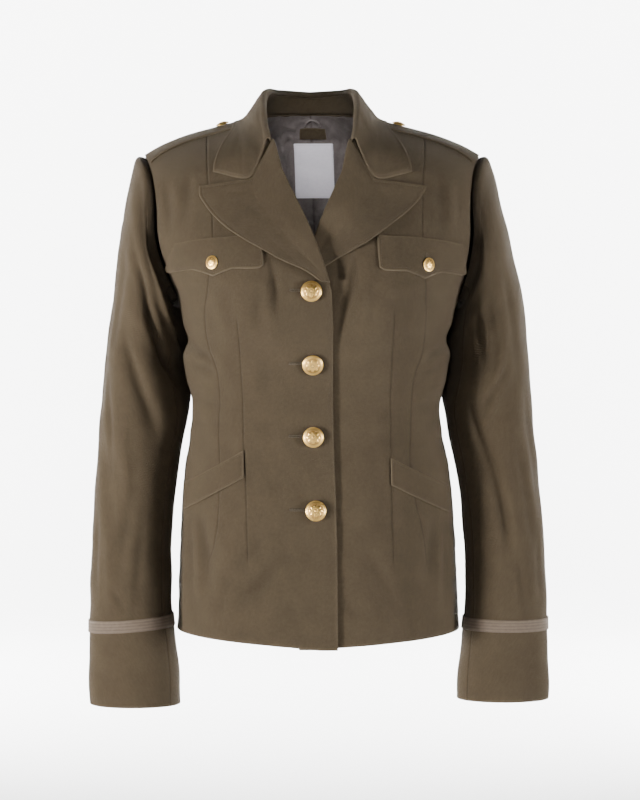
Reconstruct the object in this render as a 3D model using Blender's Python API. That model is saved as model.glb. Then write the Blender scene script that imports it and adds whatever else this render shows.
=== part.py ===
"""A woman's wool uniform jacket, filled out as if worn, with nobody in it.

Metres, +Z up. The front faces -Y and the wearer's left is +X. The origin is
on the middle line, level with the top of the shoulder beside the neck.
A side is -1 for the wearer's right and 1 for the wearer's left, and a
distance "out" is measured from the middle line towards that side.
"""
import math

import bmesh
import bpy
import numpy as np
from mathutils import Vector
from mathutils.bvhtree import BVHTree

RIGHT = -1
LEFT = 1

# Cloth
CLOTH = 0.0020
LINING = 0.0010
BRAID = 0.0011
SEAM_GAP = 0.0003
SLEEVE_GAP = 0.0004
REST = 0.0005

# Body lengths
UNDERARM = -0.205
SHOULDER_HEIGHT = -0.047
NECK_OUT = 0.070
BACK_NECK = 0.004
SIDE_NECK = -0.005
SHOULDER_ROUND = 0.050
BODY_POWER = 2.4
HEM_FRONT = -0.582
HEM_SIDE = -0.571
UNDERLAP = 0.0027
UNDER_REST = 0.0018
BODY_MIDDLE = (0.0, 0.0, -0.150)

# Grid sizes
LOW_ROWS = 15
ARM_STEPS = 10
FRONT_COLUMNS = 22
BACK_COLUMNS = 12
BACK_SPREAD = 1.15
FRONT_SPREAD = ((0.0, 0.18, 0.43, 1.0), (0.0, 0.18, 0.35, 1.0))
SLEEVE_SIDES = 20
SKIN_ROWS = 30
SKIN_COLUMNS = 60

# Sections round the body: height, half width, depth to the front and to the back.
BODY = (
    ("height", "half_width", "front", "back"),
    (-0.600, 0.1590, 0.1300, 0.1190),
    (-0.510, 0.1555, 0.1280, 0.1160),
    (-0.435, 0.1520, 0.1240, 0.1060),
    (-0.395, 0.1485, 0.1210, 0.0980),
    (-0.360, 0.1415, 0.1190, 0.0920),
    (-0.325, 0.1385, 0.1190, 0.0880),
    (-0.297, 0.1440, 0.1220, 0.0880),
    (-0.268, 0.1495, 0.1290, 0.0900),
    (-0.250, 0.1450, 0.1350, 0.0930),
    (-0.232, 0.1500, 0.1390, 0.0970),
    (-0.205, 0.1560, 0.1410, 0.1040),
    (-0.150, 0.1700, 0.1320, 0.1080),
    (-0.100, 0.1715, 0.1140, 0.1020),
    (-0.060, 0.1790, 0.0940, 0.0900),
    (-0.030, 0.1900, 0.0760, 0.0770),
    (0.000, 0.2000, 0.0560, 0.0640),
    (0.040, 0.2100, 0.0500, 0.0580),
)

# The armhole edge: height and how far out it lies.
ARMHOLE = (
    ("height", "out"),
    (-0.205, 0.1560),
    (-0.195, 0.1590),
    (-0.177, 0.1640),
    (-0.154, 0.1690),
    (-0.132, 0.1715),
    (-0.103, 0.1720),
    (-0.072, 0.1755),
    (-0.055, 0.1810),
    (-0.047, 0.1865),
    (-0.020, 0.2000),
    (0.040, 0.2150),
)

# The ridge of the shoulder, with its line carried on inside the neck.
RIDGE = (
    ("out", "height"),
    (0.000, 0.0450),
    (0.070, -0.0050),
    (0.100, -0.0140),
    (0.135, -0.0235),
    (0.165, -0.0350),
    (0.1865, -0.0470),
    (0.220, -0.0680),
)

# The top of a front: down the neck seam and the fold of the lapel.
FRONT_TOP = (
    ("out", "height"),
    (-0.0240, -0.2140),
    (-0.0145, -0.1940),
    (-0.0085, -0.1670),
    (0.0000, -0.1400),
    (0.0185, -0.0980),
    (0.0335, -0.0670),
    (0.0415, -0.0370),
    (0.0560, -0.0200),
    (0.0700, -0.0050),
)

# How far each front's edge passes the middle line.
FRONT_EDGE = (
    ("height", "past"),
    (-0.600, 0.0205),
    (-0.485, 0.0205),
    (-0.360, 0.0185),
    (-0.237, 0.0165),
    (-0.194, 0.0145),
    (0.000, 0.0145),
)

# The jacket hangs a little to its right at the neck.
LEAN = (
    ("height", "shift"),
    (-0.660, 0.0010),
    (-0.500, 0.0000),
    (-0.400, -0.0010),
    (-0.330, -0.0020),
    (-0.260, -0.0010),
    (-0.200, 0.0000),
    (-0.150, -0.0035),
    (-0.100, -0.0050),
    (-0.050, -0.0065),
    (0.000, -0.0085),
    (0.040, -0.0090),
)

# Fullness cut into the front at the chest and into the back at the shoulder blades.
FULLNESS = (
    ("facing", "out", "height", "wide", "tall", "rise"),
    ("front", 0.083, -0.205, 0.045, 0.060, 0.0090),
    ("back", 0.075, -0.130, 0.045, 0.060, 0.0060),
)

# Large folds of a front: from a point to a point, width, and depth inwards.
FOLDS = (
    ("side", "out_1", "height_1", "out_2", "height_2", "width", "depth"),
    (RIGHT, 0.0470, -0.1660, 0.0400, -0.2250, 0.0090, 0.0026),
    (RIGHT, 0.0300, -0.4750, 0.0950, -0.5400, 0.0140, 0.0030),
    (RIGHT, 0.1200, -0.4500, 0.1300, -0.5500, 0.0130, 0.0030),
    (LEFT, 0.0380, -0.1700, 0.0160, -0.2500, 0.0090, 0.0024),
    (LEFT, 0.1150, -0.4600, 0.1300, -0.5500, 0.0130, 0.0030),
    (LEFT, 0.0500, -0.4700, 0.0700, -0.5600, 0.0150, 0.0024),
)

# Sections of a sleeve: its way down, outer and inner points, depths, and the middle.
SLEEVE = (
    ("way", "outer_out", "outer_height", "inner_out", "inner_height", "front", "back", "middle"),
    (0.000, 0.1865, -0.0470, 0.1560, -0.2050, 0.0620, 0.0520, 0.0000),
    (0.006, 0.1925, -0.0475, 0.1595, -0.2070, 0.0650, 0.0550, 0.0000),
    (0.018, 0.1985, -0.0570, 0.1615, -0.2110, 0.0670, 0.0580, 0.0000),
    (0.040, 0.2050, -0.0780, 0.1610, -0.2160, 0.0670, 0.0600, 0.0010),
    (0.078, 0.2130, -0.1150, 0.1590, -0.2260, 0.0660, 0.0610, 0.0030),
    (0.129, 0.2225, -0.1650, 0.1555, -0.2430, 0.0640, 0.0610, 0.0050),
    (0.165, 0.2285, -0.2000, 0.1545, -0.2560, 0.0620, 0.0600, 0.0060),
    (0.210, 0.2345, -0.2450, 0.1540, -0.2750, 0.0600, 0.0590, 0.0060),
    (0.255, 0.2385, -0.2900, 0.1490, -0.3020, 0.0580, 0.0570, 0.0040),
    (0.296, 0.2415, -0.3300, 0.1440, -0.3320, 0.0560, 0.0550, 0.0010),
    (0.346, 0.2455, -0.3800, 0.1525, -0.3800, 0.0530, 0.0520, -0.0050),
    (0.401, 0.2495, -0.4350, 0.1600, -0.4350, 0.0500, 0.0490, -0.0120),
    (0.456, 0.2525, -0.4900, 0.1635, -0.4900, 0.0470, 0.0460, -0.0200),
    (0.506, 0.2540, -0.5400, 0.1630, -0.5400, 0.0440, 0.0430, -0.0280),
    (0.556, 0.2545, -0.5900, 0.1575, -0.5900, 0.0410, 0.0400, -0.0350),
    (0.591, 0.2550, -0.6250, 0.1540, -0.6250, 0.0390, 0.0385, -0.0400),
    (0.620, 0.2540, -0.6540, 0.1530, -0.6540, 0.0380, 0.0375, -0.0430),
)
SLEEVE_FRONT_SEAM = 144
SLEEVE_BACK_SEAM = 252
SLEEVE_CUT = {RIGHT: 0.0020, LEFT: 0.0080}
CAP_BLEND = 0.080

# Large folds of a sleeve: angle and way at both ends, width and depth inwards.
SLEEVE_FOLDS = (
    ("side", "angle_1", "way_1", "angle_2", "way_2", "width", "depth"),
    (RIGHT, 60.0, 0.190, 118.0, 0.345, 0.0150, 0.0040),
    (RIGHT, 20.0, 0.300, 70.0, 0.430, 0.0140, 0.0035),
    (LEFT, 50.0, 0.250, 105.0, 0.340, 0.0150, 0.0035),
    (LEFT, 105.0, 0.330, 80.0, 0.480, 0.0160, 0.0040),
    (RIGHT, 235.0, 0.250, 280.0, 0.330, 0.0130, 0.0040),
    (LEFT, 235.0, 0.250, 280.0, 0.330, 0.0130, 0.0040),
)

# The fold of the collar, from the middle of the back to the gorge.
COLLAR_ROLL = (
    ("share", "out", "deep", "height"),
    (0.00, 0.0000, 0.0570, 0.0270),
    (0.18, 0.0250, 0.0490, 0.0280),
    (0.36, 0.0385, 0.0270, 0.0275),
    (0.52, 0.0445, 0.0020, 0.0230),
    (0.70, 0.0470, -0.0290, 0.0070),
    (0.86, 0.0455, -0.0570, -0.0140),
    (1.00, 0.0425, -0.0800, -0.0320),
)

# The outer edge of the collar, from the middle of the back to its point.
COLLAR_EDGE = (
    ("share", "out", "deep", "height"),
    (0.00, 0.0000, 0.0830, -0.0180),
    (0.22, 0.0420, 0.0760, -0.0170),
    (0.38, 0.0700, 0.0480, -0.0130),
    (0.54, 0.0830, 0.0060, -0.0080),
    (0.74, 0.0870, -0.0330, -0.0180),
    (0.88, 0.0950, -0.0560, -0.0400),
    (1.00, 0.1050, -0.0800, -0.0710),
)
NOTCH = (0.0660, -0.0770)
COLLAR_TURN = 0.0085
LEAF_REST = 0.0008
CLEAR_ROUNDS = 5
STAND_ROWS = 6
STAND_SHORT = 3
LEAF_ROWS = 6
COLLAR_COLUMNS = 16

# The outer edge of each lapel: height and how far out.
LAPEL_EDGE = (
    ("height", "right", "left"),
    (-0.1860, -0.0040, -0.0100),
    (-0.1750, 0.0110, 0.0020),
    (-0.1640, 0.0343, 0.0195),
    (-0.1530, 0.0537, 0.0400),
    (-0.1400, 0.0762, 0.0620),
    (-0.1240, 0.0977, 0.0830),
    (-0.1040, 0.1150, 0.1070),
    (-0.0900, 0.1220, 0.1185),
    (-0.0830, 0.1220, 0.1220),
)
LAPEL_TIP = -0.0830
LAPEL_END = -0.1860
LAPEL_GAP = 0.0012
LAPEL_STAND = 0.0030
LAPEL_SPRING = 0.0028
LAPEL_TOP = -0.0390

# Chest flaps: side, inner and outer end, spread of the lower edge, fall of the upper and lower
# edge towards the arm, lower edge, and the place of the button.
FLAPS = (
    ("side", "in", "out", "flare", "fall", "drop", "bottom", "button_out", "button_height"),
    (RIGHT, 0.0562, 0.1490, 0.0150, 0.0075, 0.0050, -0.1710, 0.1092, -0.1655),
    (LEFT, 0.0680, 0.1590, 0.0030, 0.0080, 0.0050, -0.1735, 0.1190, -0.1675),
)
FLAP_TOP = -0.1370
FLAP_POINT = 0.0085
FLAP_LIFT = 0.0012
FLAP_CORNER = 0.0030
FLAP_CLOTH = 0.0018

# Welts of the lower pockets: side, inner top corner, outer top corner, height.
WELTS = (
    ("side", "in", "top_in", "out", "top_out", "tall"),
    (RIGHT, 0.0790, -0.3690, 0.1460, -0.4080, 0.0280),
    (LEFT, 0.0800, -0.3770, 0.1440, -0.4110, 0.0280),
)
WELT_REST = 0.0008
WELT_CLOTH = 0.0016

# Shoulder straps
STRAP_IN = 0.0890
STRAP_OUT = 0.1850
STRAP_FRONT = 0.0340
STRAP_BACK = 0.0140
STRAP_TAPER = 0.0040
STRAP_POINT = 0.0050
STRAP_END_CURVE = 6.5
STRAP_CLOTH = 0.0018
STRAP_BUTTON_IN = 0.0080

# Cuff braid
BRAID_TOP = 0.5230
BRAID_WIDE = 0.0130
BRAID_SLANT = {RIGHT: 0.0070, LEFT: 0.0005}

# Buttons
BUTTON_REST = 0.0009
FRONT_BUTTON = 0.0225
SMALL_BUTTON = 0.0150
BUTTON_IN = 0.0215
FIRST_BUTTON_LIFT = -0.0004
BUTTON_HEIGHTS = (-0.1960, -0.2745, -0.3530, -0.4320)

# Inside of the neck
LABEL_HALF = 0.0225
LABEL_TOP = -0.0260
LABEL_BOTTOM = -0.0880
LABEL_SHIFT = 0.0020
LABEL_CLOTH = 0.0008
PATCH_HALF = 0.0150
PATCH_TOP = -0.0090
PATCH_BOTTOM = -0.0205
PATCH_CLOTH = 0.0012
PLATE_REST = 0.0009
TOP_REST = 0.0010
TOP_REST_FROM = -0.0560
LOOP_HALF = 0.0090
LOOP_LOW = -0.0065
LOOP_TALL = 0.0065
LOOP_TUBE = 0.0013


def column(table, name):
    """Returns one named column of a table."""
    place = table[0].index(name)
    return np.array([row[place] for row in table[1:]], dtype=float)


def smooth(table, name, at):
    """Reads a column as a smooth curve over the first column, with no overshoot."""
    keys = column(table, table[0][0])
    values = column(table, name)
    steps = np.diff(keys)
    rises = np.diff(values) / steps
    slopes = np.zeros(len(keys))
    both = rises[:-1] * rises[1:] > 0
    total = rises[:-1] + rises[1:]
    total[~both] = 1.0
    slopes[1:-1] = np.where(both, 2 * rises[:-1] * rises[1:] / total, 0.0)
    slopes[0] = rises[0]
    slopes[-1] = rises[-1]
    at = np.clip(np.asarray(at, dtype=float), keys[0], keys[-1])
    index = np.clip(np.searchsorted(keys, at) - 1, 0, len(steps) - 1)
    step = steps[index]
    t = (at - keys[index]) / step
    near = (2 * t**3 - 3 * t**2 + 1) * values[index]
    far = (3 * t**2 - 2 * t**3) * values[index + 1]
    near_slope = (t**3 - 2 * t**2 + t) * step * slopes[index]
    far_slope = (t**3 - t**2) * step * slopes[index + 1]
    return near + far + near_slope + far_slope


def ease(value):
    """Goes softly from 0 to 1."""
    value = np.clip(value, 0.0, 1.0)
    return value * value * (3 - 2 * value)


def row_of(table, first):
    """Returns the row of a table that starts with a value, by its column names."""
    return dict(zip(table[0], next(row for row in table[1:] if row[0] == first)))


def fold_depth(table, side, first, second, scale=1.0):
    """Adds up the folds that lie near each point of one side."""
    total = np.zeros(np.broadcast(first, second).shape)
    for row in table[1:]:
        if row[0] != side:
            continue
        start = np.array((row[1] * scale, row[2]))
        end = np.array((row[3] * scale, row[4]))
        way = end - start
        share = ((first * scale - start[0]) * way[0] + (second - start[1]) * way[1]) / (way @ way)
        held = np.clip(share, 0.0, 1.0)
        gap = np.hypot(first * scale - start[0] - held * way[0], second - start[1] - held * way[1])
        fade = np.sin(np.pi * np.clip(held, 0.04, 0.96)) ** 0.7
        total = total + row[6] * fade * np.exp(-(gap / row[5]) ** 2)
    return total


def armhole_share(height):
    """Returns the part of the body's depth that is left at the armhole edge."""
    climb = np.clip((height - UNDERARM) / (SHOULDER_HEIGHT - UNDERARM), 0.0, 1.0)
    return 0.56 * (1 - (1 - climb) ** 2) ** 0.55


def edge_out(height):
    """Returns how far out the side seam or the armhole lies."""
    low = smooth(BODY, "half_width", height)
    high = smooth(ARMHOLE, "out", height)
    return np.where(height <= UNDERARM, low, high)


def full_half(height):
    """Returns the half width that a body section would have with no armhole."""
    share = armhole_share(height)
    return edge_out(height) / (1 - share**BODY_POWER) ** (1 / BODY_POWER)


def depth(side, out, height, facing):
    """Returns how far the cloth lies before or behind the middle plane."""
    spread = np.clip(np.abs(out) / full_half(height), 0.0, 1.0)
    across = (1 - spread**BODY_POWER) ** (1 / BODY_POWER)
    below = np.clip((smooth(RIDGE, "height", np.abs(out)) - height) / SHOULDER_ROUND, 0.0, 1.0)
    over = (1 - (1 - below) ** 2) ** 0.6
    value = smooth(BODY, facing, height) * across * over
    if facing == "front":
        value = value - fold_depth(FOLDS, side, out, height) * across
    read = row_of(FULLNESS, facing)
    beside = (np.abs(out) - read["out"]) / read["wide"]
    above = (height - read["height"]) / read["tall"]
    return value + read["rise"] * np.exp(-(beside**2) - above**2) * across


def placed(side, out, deep, height):
    """Puts a point on its side of the jacket, with the lean of the whole."""
    out, deep, height = np.broadcast_arrays(out, deep, height)
    shift = smooth(LEAN, "shift", height)
    return np.stack((side * out + shift, deep, height), axis=-1)


def body_normal(side, out, height, facing):
    """Returns the way out of the body's cloth, as seen on the left side."""
    small = 0.0008
    slope_out = depth(side, out + small, height, facing) - depth(side, out - small, height, facing)
    slope_up = depth(side, out, height + small, facing) - depth(side, out, height - small, facing)
    turn = -2 * small if facing == "front" else 2 * small
    normal = np.stack((-slope_out, turn * np.ones_like(slope_out), -slope_up), axis=-1)
    return normal / np.linalg.norm(normal, axis=-1, keepdims=True)


def body_point(side, out, height, facing, lift=0.0):
    """Returns points on the body's cloth, moved out along its normal."""
    turn = -1.0 if facing == "front" else 1.0
    out, height, lift = np.broadcast_arrays(out, height, lift)
    normal = body_normal(side, out, height, facing)
    deep = turn * depth(side, out, height, facing)
    return placed(
        side,
        out + lift * normal[..., 0],
        deep + lift * normal[..., 1],
        height + lift * normal[..., 2],
    )


def grid_normals(points, wrap=False):
    """Returns the normals of a grid of points, round it where it is closed."""
    if wrap:
        across = np.roll(points, -1, axis=1) - np.roll(points, 1, axis=1)
    else:
        across = np.gradient(points, axis=1)
    along = np.gradient(points, axis=0)
    normals = np.cross(across, along)
    return normals / np.linalg.norm(normals, axis=2, keepdims=True)


def flatten(normals, place, axis):
    """Takes one direction out of the normals at a seam."""
    part = normals[place]
    part[..., axis] = 0.0
    normals[place] = part / np.linalg.norm(part, axis=-1, keepdims=True)


def pull_in(points, rows=(0, 0), columns=(0, 0)):
    """Draws the edges of a grid back by small lengths."""
    points = points.copy()
    for length, edge, inner in ((rows[0], 0, 1), (rows[1], -1, -2)):
        way = points[inner] - points[edge]
        points[edge] += way * (length / np.linalg.norm(way, axis=-1, keepdims=True))
    for length, edge, inner in ((columns[0], 0, 1), (columns[1], -1, -2)):
        way = points[:, inner] - points[:, edge]
        points[:, edge] += way * (length / np.linalg.norm(way, axis=-1, keepdims=True))
    return points


def wall_solid(name, outer, inner, slot, wrap=False):
    """Closes two matching grids into one wall."""
    rows, columns = outer.shape[:2]
    count = rows * columns
    points = np.concatenate((outer.reshape(-1, 3), inner.reshape(-1, 3)))
    faces = []
    last = columns if wrap else columns - 1

    def at(row, col):
        return row * columns + col % columns

    for row in range(rows - 1):
        for col in range(last):
            quad = (at(row, col), at(row, col + 1), at(row + 1, col + 1), at(row + 1, col))
            faces.append(quad)
            faces.append(tuple(count + quad[corner] for corner in (0, 3, 2, 1)))
    for col in range(last):
        for row, ahead in ((0, 1), (rows - 1, 0)):
            first = at(row, col + ahead)
            second = at(row, col + 1 - ahead)
            faces.append((first, second, count + second, count + first))
    if not wrap:
        for row in range(rows - 1):
            for col, ahead in ((0, 0), (columns - 1, 1)):
                first = at(row + ahead, col)
                second = at(row + 1 - ahead, col)
                faces.append((first, second, count + second, count + first))
    return add_object(name, points, faces, slot)


def add_object(name, points, faces, slot):
    """Makes one named object with outward faces."""
    mesh = bpy.data.meshes.new(name)
    mesh.from_pydata([tuple(float(v) for v in point) for point in points], [], faces)
    shape = bmesh.new()
    shape.from_mesh(mesh)
    bmesh.ops.recalc_face_normals(shape, faces=shape.faces)
    shape.to_mesh(mesh)
    shape.free()
    mesh.shade_smooth()
    mesh.set_sharp_from_angle(angle=math.radians(40))
    piece = bpy.data.objects.new(name, mesh)
    piece.data.materials.append(material(slot))
    bpy.context.collection.objects.link(piece)
    return piece


LOOKS = {
    "wool": ((0.100, 0.082, 0.055), 0.85, 0.0),
    "lining": ((0.130, 0.115, 0.105), 0.35, 0.0),
    "braid": ((0.170, 0.135, 0.105), 0.60, 0.0),
    "brass": ((0.850, 0.560, 0.220), 0.28, 1.0),
    "label": ((0.800, 0.780, 0.850), 0.70, 0.0),
}


def material(slot):
    """Returns the material of a slot, made once."""
    made = bpy.data.materials.get(slot)
    if made:
        return made
    colour, roughness, metallic = LOOKS[slot]
    made = bpy.data.materials.new(slot)
    made.use_nodes = True
    shader = made.node_tree.nodes["Principled BSDF"]
    shader.inputs["Base Color"].default_value = (*colour, 1.0)
    shader.inputs["Roughness"].default_value = roughness
    shader.inputs["Metallic"].default_value = metallic
    made.diffuse_color = (*colour, 1.0)
    return made


def side_heights(low_rows, arm_steps):
    """Returns the heights of the rows at the side, from the hem to the shoulder."""
    low = np.linspace(HEM_SIDE, UNDERARM, low_rows)
    middle = (SHOULDER_HEIGHT + UNDERARM) / 2
    half = (SHOULDER_HEIGHT - UNDERARM) / 2
    turns = np.linspace(math.pi, 0.0, arm_steps + 1)
    return np.concatenate((low[:-1], middle + half * np.cos(turns)))


def column_out(share, height, facing):
    """Returns how far out a column of the body's grid lies at a height."""
    half = full_half(height)
    edge = np.arcsin(np.clip(edge_out(height) / half, 0.0, 1.0))
    past = 0.0 if facing == "back" else smooth(FRONT_EDGE, "past", height)
    start = -np.arcsin(past / half)
    return half * np.sin(start + (edge - start) * share)


def top_height(out, facing):
    """Returns the height of a panel's top edge."""
    ridge = smooth(RIDGE, "height", np.abs(out))
    if facing == "back":
        inside = BACK_NECK + (SIDE_NECK - BACK_NECK) * (np.abs(out) / NECK_OUT) ** 3
    else:
        inside = smooth(FRONT_TOP, "height", out)
    return np.where(np.abs(out) >= NECK_OUT, ridge, inside)


def body_grid(facing, low_rows, arm_steps, columns):
    """Returns the out and height of each point of a body panel's grid."""
    heights = side_heights(low_rows, arm_steps)
    share_up = (heights - heights[0]) / (heights[-1] - heights[0])
    share = np.linspace(0.0, 1.0, columns)
    if facing == "back":
        share = share**BACK_SPREAD
    else:
        share = np.interp(share, FRONT_SPREAD[0], FRONT_SPREAD[1])
    low = np.full(columns, -0.30)
    high = np.full(columns, 0.02)
    for _ in range(40):
        middle = (low + high) / 2
        below = top_height(column_out(share, middle, facing), facing) > middle
        low = np.where(below, middle, low)
        high = np.where(below, high, middle)
    hem = HEM_FRONT + (HEM_SIDE - HEM_FRONT) * share**0.8
    height = hem + (low - hem) * share_up[:, np.newaxis]
    share = np.broadcast_to(share, height.shape)
    return column_out(share, height, facing), height


def under_share(out, height):
    """Returns how much a place on the left front lies under the right one."""
    near = ease((0.0560 - out) / 0.0380)
    return near * ease((-0.1000 - height) / 0.0420)


def under_front(out, height):
    """Returns how far the left front is set back where the right one covers it."""
    lapel_too = UNDERLAP * ease((height + 0.2500) / 0.0450)
    return under_share(out, height) * (CLOTH + UNDER_REST + lapel_too)


def body_panel(name, side, facing, columns):
    """Makes a front or a back half from its grid."""
    out, height = body_grid(facing, LOW_ROWS, ARM_STEPS, columns)
    points = body_point(side, out, height, facing)
    if facing == "front" and side == LEFT:
        points[..., 1] += under_front(out, height)
    normals = body_normal(side, out, height, facing)
    normals[..., 0] *= side
    low = height[:, -1] <= UNDERARM + 0.0001
    flatten(normals, (np.nonzero(low)[0], -1), 1)
    seam = np.nonzero(out[-1] >= NECK_OUT - 0.001)[0]
    flatten(normals, (-1, seam), 1)
    centre = SEAM_GAP / 2 if facing == "back" else 0.0
    if facing == "back":
        flatten(normals, (slice(None), 0), 0)
    inner = points - normals * CLOTH
    outer = pull_in(points, (0.0, SEAM_GAP / 2), (centre, SEAM_GAP / 2))
    inner = pull_in(inner, (0.0, SEAM_GAP / 2), (centre, SEAM_GAP / 2))
    return wall_solid(name, outer, inner, "wool")


def armhole_point(side, angle):
    """Returns the armhole seam at an angle: 0 at the shoulder, 90 in front."""
    turn = np.radians(angle)
    middle = (SHOULDER_HEIGHT + UNDERARM) / 2
    height = middle + (SHOULDER_HEIGHT - UNDERARM) / 2 * np.cos(turn)
    out = edge_out(height + 1e-7)
    front = depth(side, out, height, "front")
    back = depth(side, out, height, "back")
    ahead = np.sin(turn) >= 0
    deep = np.where(ahead, -front, back)
    return out + 0.0004, deep, height


def sleeve_parts(side, angle, way):
    """Returns out, deep and height of points on a sleeve."""
    turn = np.radians(angle)
    share = (1 + np.cos(turn)) / 2
    ends = []
    for station in (way, np.zeros_like(way)):
        read = {name: smooth(SLEEVE, name, station) for name in SLEEVE[0][1:]}
        out = read["inner_out"] + (read["outer_out"] - read["inner_out"]) * share
        height = read["inner_height"] + (read["outer_height"] - read["inner_height"]) * share
        reach = np.where(np.sin(turn) >= 0, read["front"], read["back"])
        deep = read["middle"] - reach * np.sign(np.sin(turn)) * np.abs(np.sin(turn)) ** 0.92
        ends.append((out, deep, height))
    hole = armhole_point(side, angle)
    fade = np.clip(1 - way / CAP_BLEND, 0.0, 1.0) ** 2
    parts = [here + (seam - start) * fade for here, start, seam in zip(ends[0], ends[1], hole)]
    inward = fold_depth(SLEEVE_FOLDS, side, angle % 360, way, 0.001)
    middle_out = (smooth(SLEEVE, "outer_out", way) + smooth(SLEEVE, "inner_out", way)) / 2
    middle_deep = smooth(SLEEVE, "middle", way)
    reach = np.hypot(parts[0] - middle_out, parts[1] - middle_deep)
    shrink = 1 - inward * (1 - fade) / np.maximum(reach, 0.01)
    out = middle_out + (parts[0] - middle_out) * shrink
    deep = middle_deep + (parts[1] - middle_deep) * shrink
    return out, deep, parts[2]


def sleeve_point(side, angle, way):
    """Returns points on a sleeve's cloth."""
    angle, way = np.broadcast_arrays(angle, way)
    return placed(side, *sleeve_parts(side, angle, way))


def sleeve_ring(side, ways, angles):
    """Returns a sleeve's closed grid with its outward normals."""
    points = sleeve_point(side, angles[np.newaxis, :], ways[:, np.newaxis])
    normals = grid_normals(points, wrap=True)
    middle = np.mean(points, axis=1, keepdims=True)
    outward = np.sum(normals * (points - middle))
    return points, normals if outward > 0 else -normals


def sleeve(side, word):
    """Makes the two pieces of one sleeve."""
    ways = column(SLEEVE, "way")
    ways = np.concatenate((ways[:-4], (BRAID_TOP - 0.002, BRAID_TOP + BRAID_WIDE), ways[-3:]))
    ways[-1] -= SLEEVE_CUT[side]
    angles = np.arange(0.0, 360.0, 360.0 / SLEEVE_SIDES)
    points, normals = sleeve_ring(side, ways, angles)
    inner = points - normals * CLOTH
    back = SLEEVE_BACK_SEAM * SLEEVE_SIDES // 360
    front = SLEEVE_FRONT_SEAM * SLEEVE_SIDES // 360
    upper = [place % SLEEVE_SIDES for place in range(back, SLEEVE_SIDES + front + 1)]
    under = list(range(front, back + 1))
    for name, places in (("sleeve_top_" + word, upper), ("sleeve_under_" + word, under)):
        outer_part = pull_in(points[:, places], (SEAM_GAP, 0.0), (SLEEVE_GAP, SLEEVE_GAP))
        inner_part = pull_in(inner[:, places], (SEAM_GAP, 0.0), (SLEEVE_GAP, SLEEVE_GAP))
        wall_solid(name, outer_part, inner_part, "wool")


def cuff_braid(side, word):
    """Makes the band of braid round one cuff."""
    angles = np.arange(0.0, 360.0, 360.0 / SLEEVE_SIDES)
    slant = BRAID_SLANT[side] * np.cos(np.radians(angles)) / 2
    ways = BRAID_TOP + np.linspace(0.0, BRAID_WIDE, 3)[:, np.newaxis] + slant[np.newaxis, :]
    points = sleeve_point(side, angles[np.newaxis, :], ways)
    normals = grid_normals(points, wrap=True)
    middle = np.mean(points, axis=1, keepdims=True)
    if np.sum(normals * (points - middle)) < 0:
        normals = -normals
    low = points + normals * REST
    wall_solid("cuff_braid_" + word, low + normals * BRAID, low, "braid", wrap=True)


def body_skin(low_rows, arm_steps, wide):
    """Returns a search tree of the body's outer cloth, as fine as asked for."""
    corners = []
    faces = []
    for side in (RIGHT, LEFT):
        for facing in ("front", "back"):
            out, height = body_grid(facing, low_rows, arm_steps, wide[facing])
            points = body_point(side, out, height, facing)
            rows, columns = out.shape
            base = len(corners)
            corners.extend(Vector(point) for point in points.reshape(-1, 3))
            for row in range(rows - 1):
                for col in range(columns - 1):
                    first = base + row * columns + col
                    faces.append((first, first + 1, first + columns + 1))
                    faces.append((first, first + columns + 1, first + columns))
    return BVHTree.FromPolygons(corners, faces)


def off_skin(tree, point):
    """Returns the way out of the nearest skin point, and the height over it."""
    spot, normal, _, _ = tree.find_nearest(Vector(point))
    if normal.dot(spot - Vector(BODY_MIDDLE)) < 0:
        normal = -normal
    way = Vector(point) - spot
    return np.array(normal), way.dot(normal)


def neck_seam(share):
    """Returns out, deep and height along the neck seam, back to gorge."""
    turn = np.clip(share / 0.5, 0.0, 1.0) * np.pi / 2
    back_out = NECK_OUT * np.sin(turn)
    back_height = top_height(back_out, "back")
    back_deep = depth(LEFT, back_out, back_height, "back")
    ahead = np.clip((share - 0.5) / 0.5, 0.0, 1.0)
    front_out = NECK_OUT + (0.0425 - NECK_OUT) * ahead
    front_height = smooth(FRONT_TOP, "height", front_out)
    front_deep = -depth(LEFT, front_out, front_height, "front")
    behind = share <= 0.5
    return (
        np.where(behind, back_out, front_out),
        np.where(behind, back_deep, front_deep),
        np.where(behind, back_height, front_height),
    )


def height_over(tree, spot):
    """Returns a spot's height over the skin, or a large one where it lies past the edge."""
    foot, normal, _, far = tree.find_nearest(Vector(spot))
    if normal.dot(foot - Vector(BODY_MIDDLE)) < 0:
        normal = -normal
    over = (Vector(spot) - foot).dot(normal)
    if far > 1.05 * abs(over) + 0.0003:
        return 1.0
    return over


def raise_clear(points, normals, trees, first_row):
    """Lifts the cells of a grid until their undersides clear the cloth below."""
    rows, columns = points.shape[:2]
    shares = (0.0, 0.25, 0.5, 0.75, 1.0)
    for _ in range(CLEAR_ROUNDS):
        low = points - normals * CLOTH
        lift = np.zeros((rows, columns))
        for row in range(first_row, rows - 1):
            for col in range(columns - 1):
                over = 1.0
                for down in shares:
                    near = low[row, col] * (1 - down) + low[row + 1, col] * down
                    far = low[row, col + 1] * (1 - down) + low[row + 1, col + 1] * down
                    for across in shares:
                        spot = near * (1 - across) + far * across
                        over = min([over] + [height_over(tree, spot) for tree in trees])
                cell = (slice(row, row + 2), slice(col, col + 2))
                lift[cell] = np.maximum(lift[cell], max(LEAF_REST - over, 0.0))
        points = points + normals * lift[..., np.newaxis]
    return points


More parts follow.
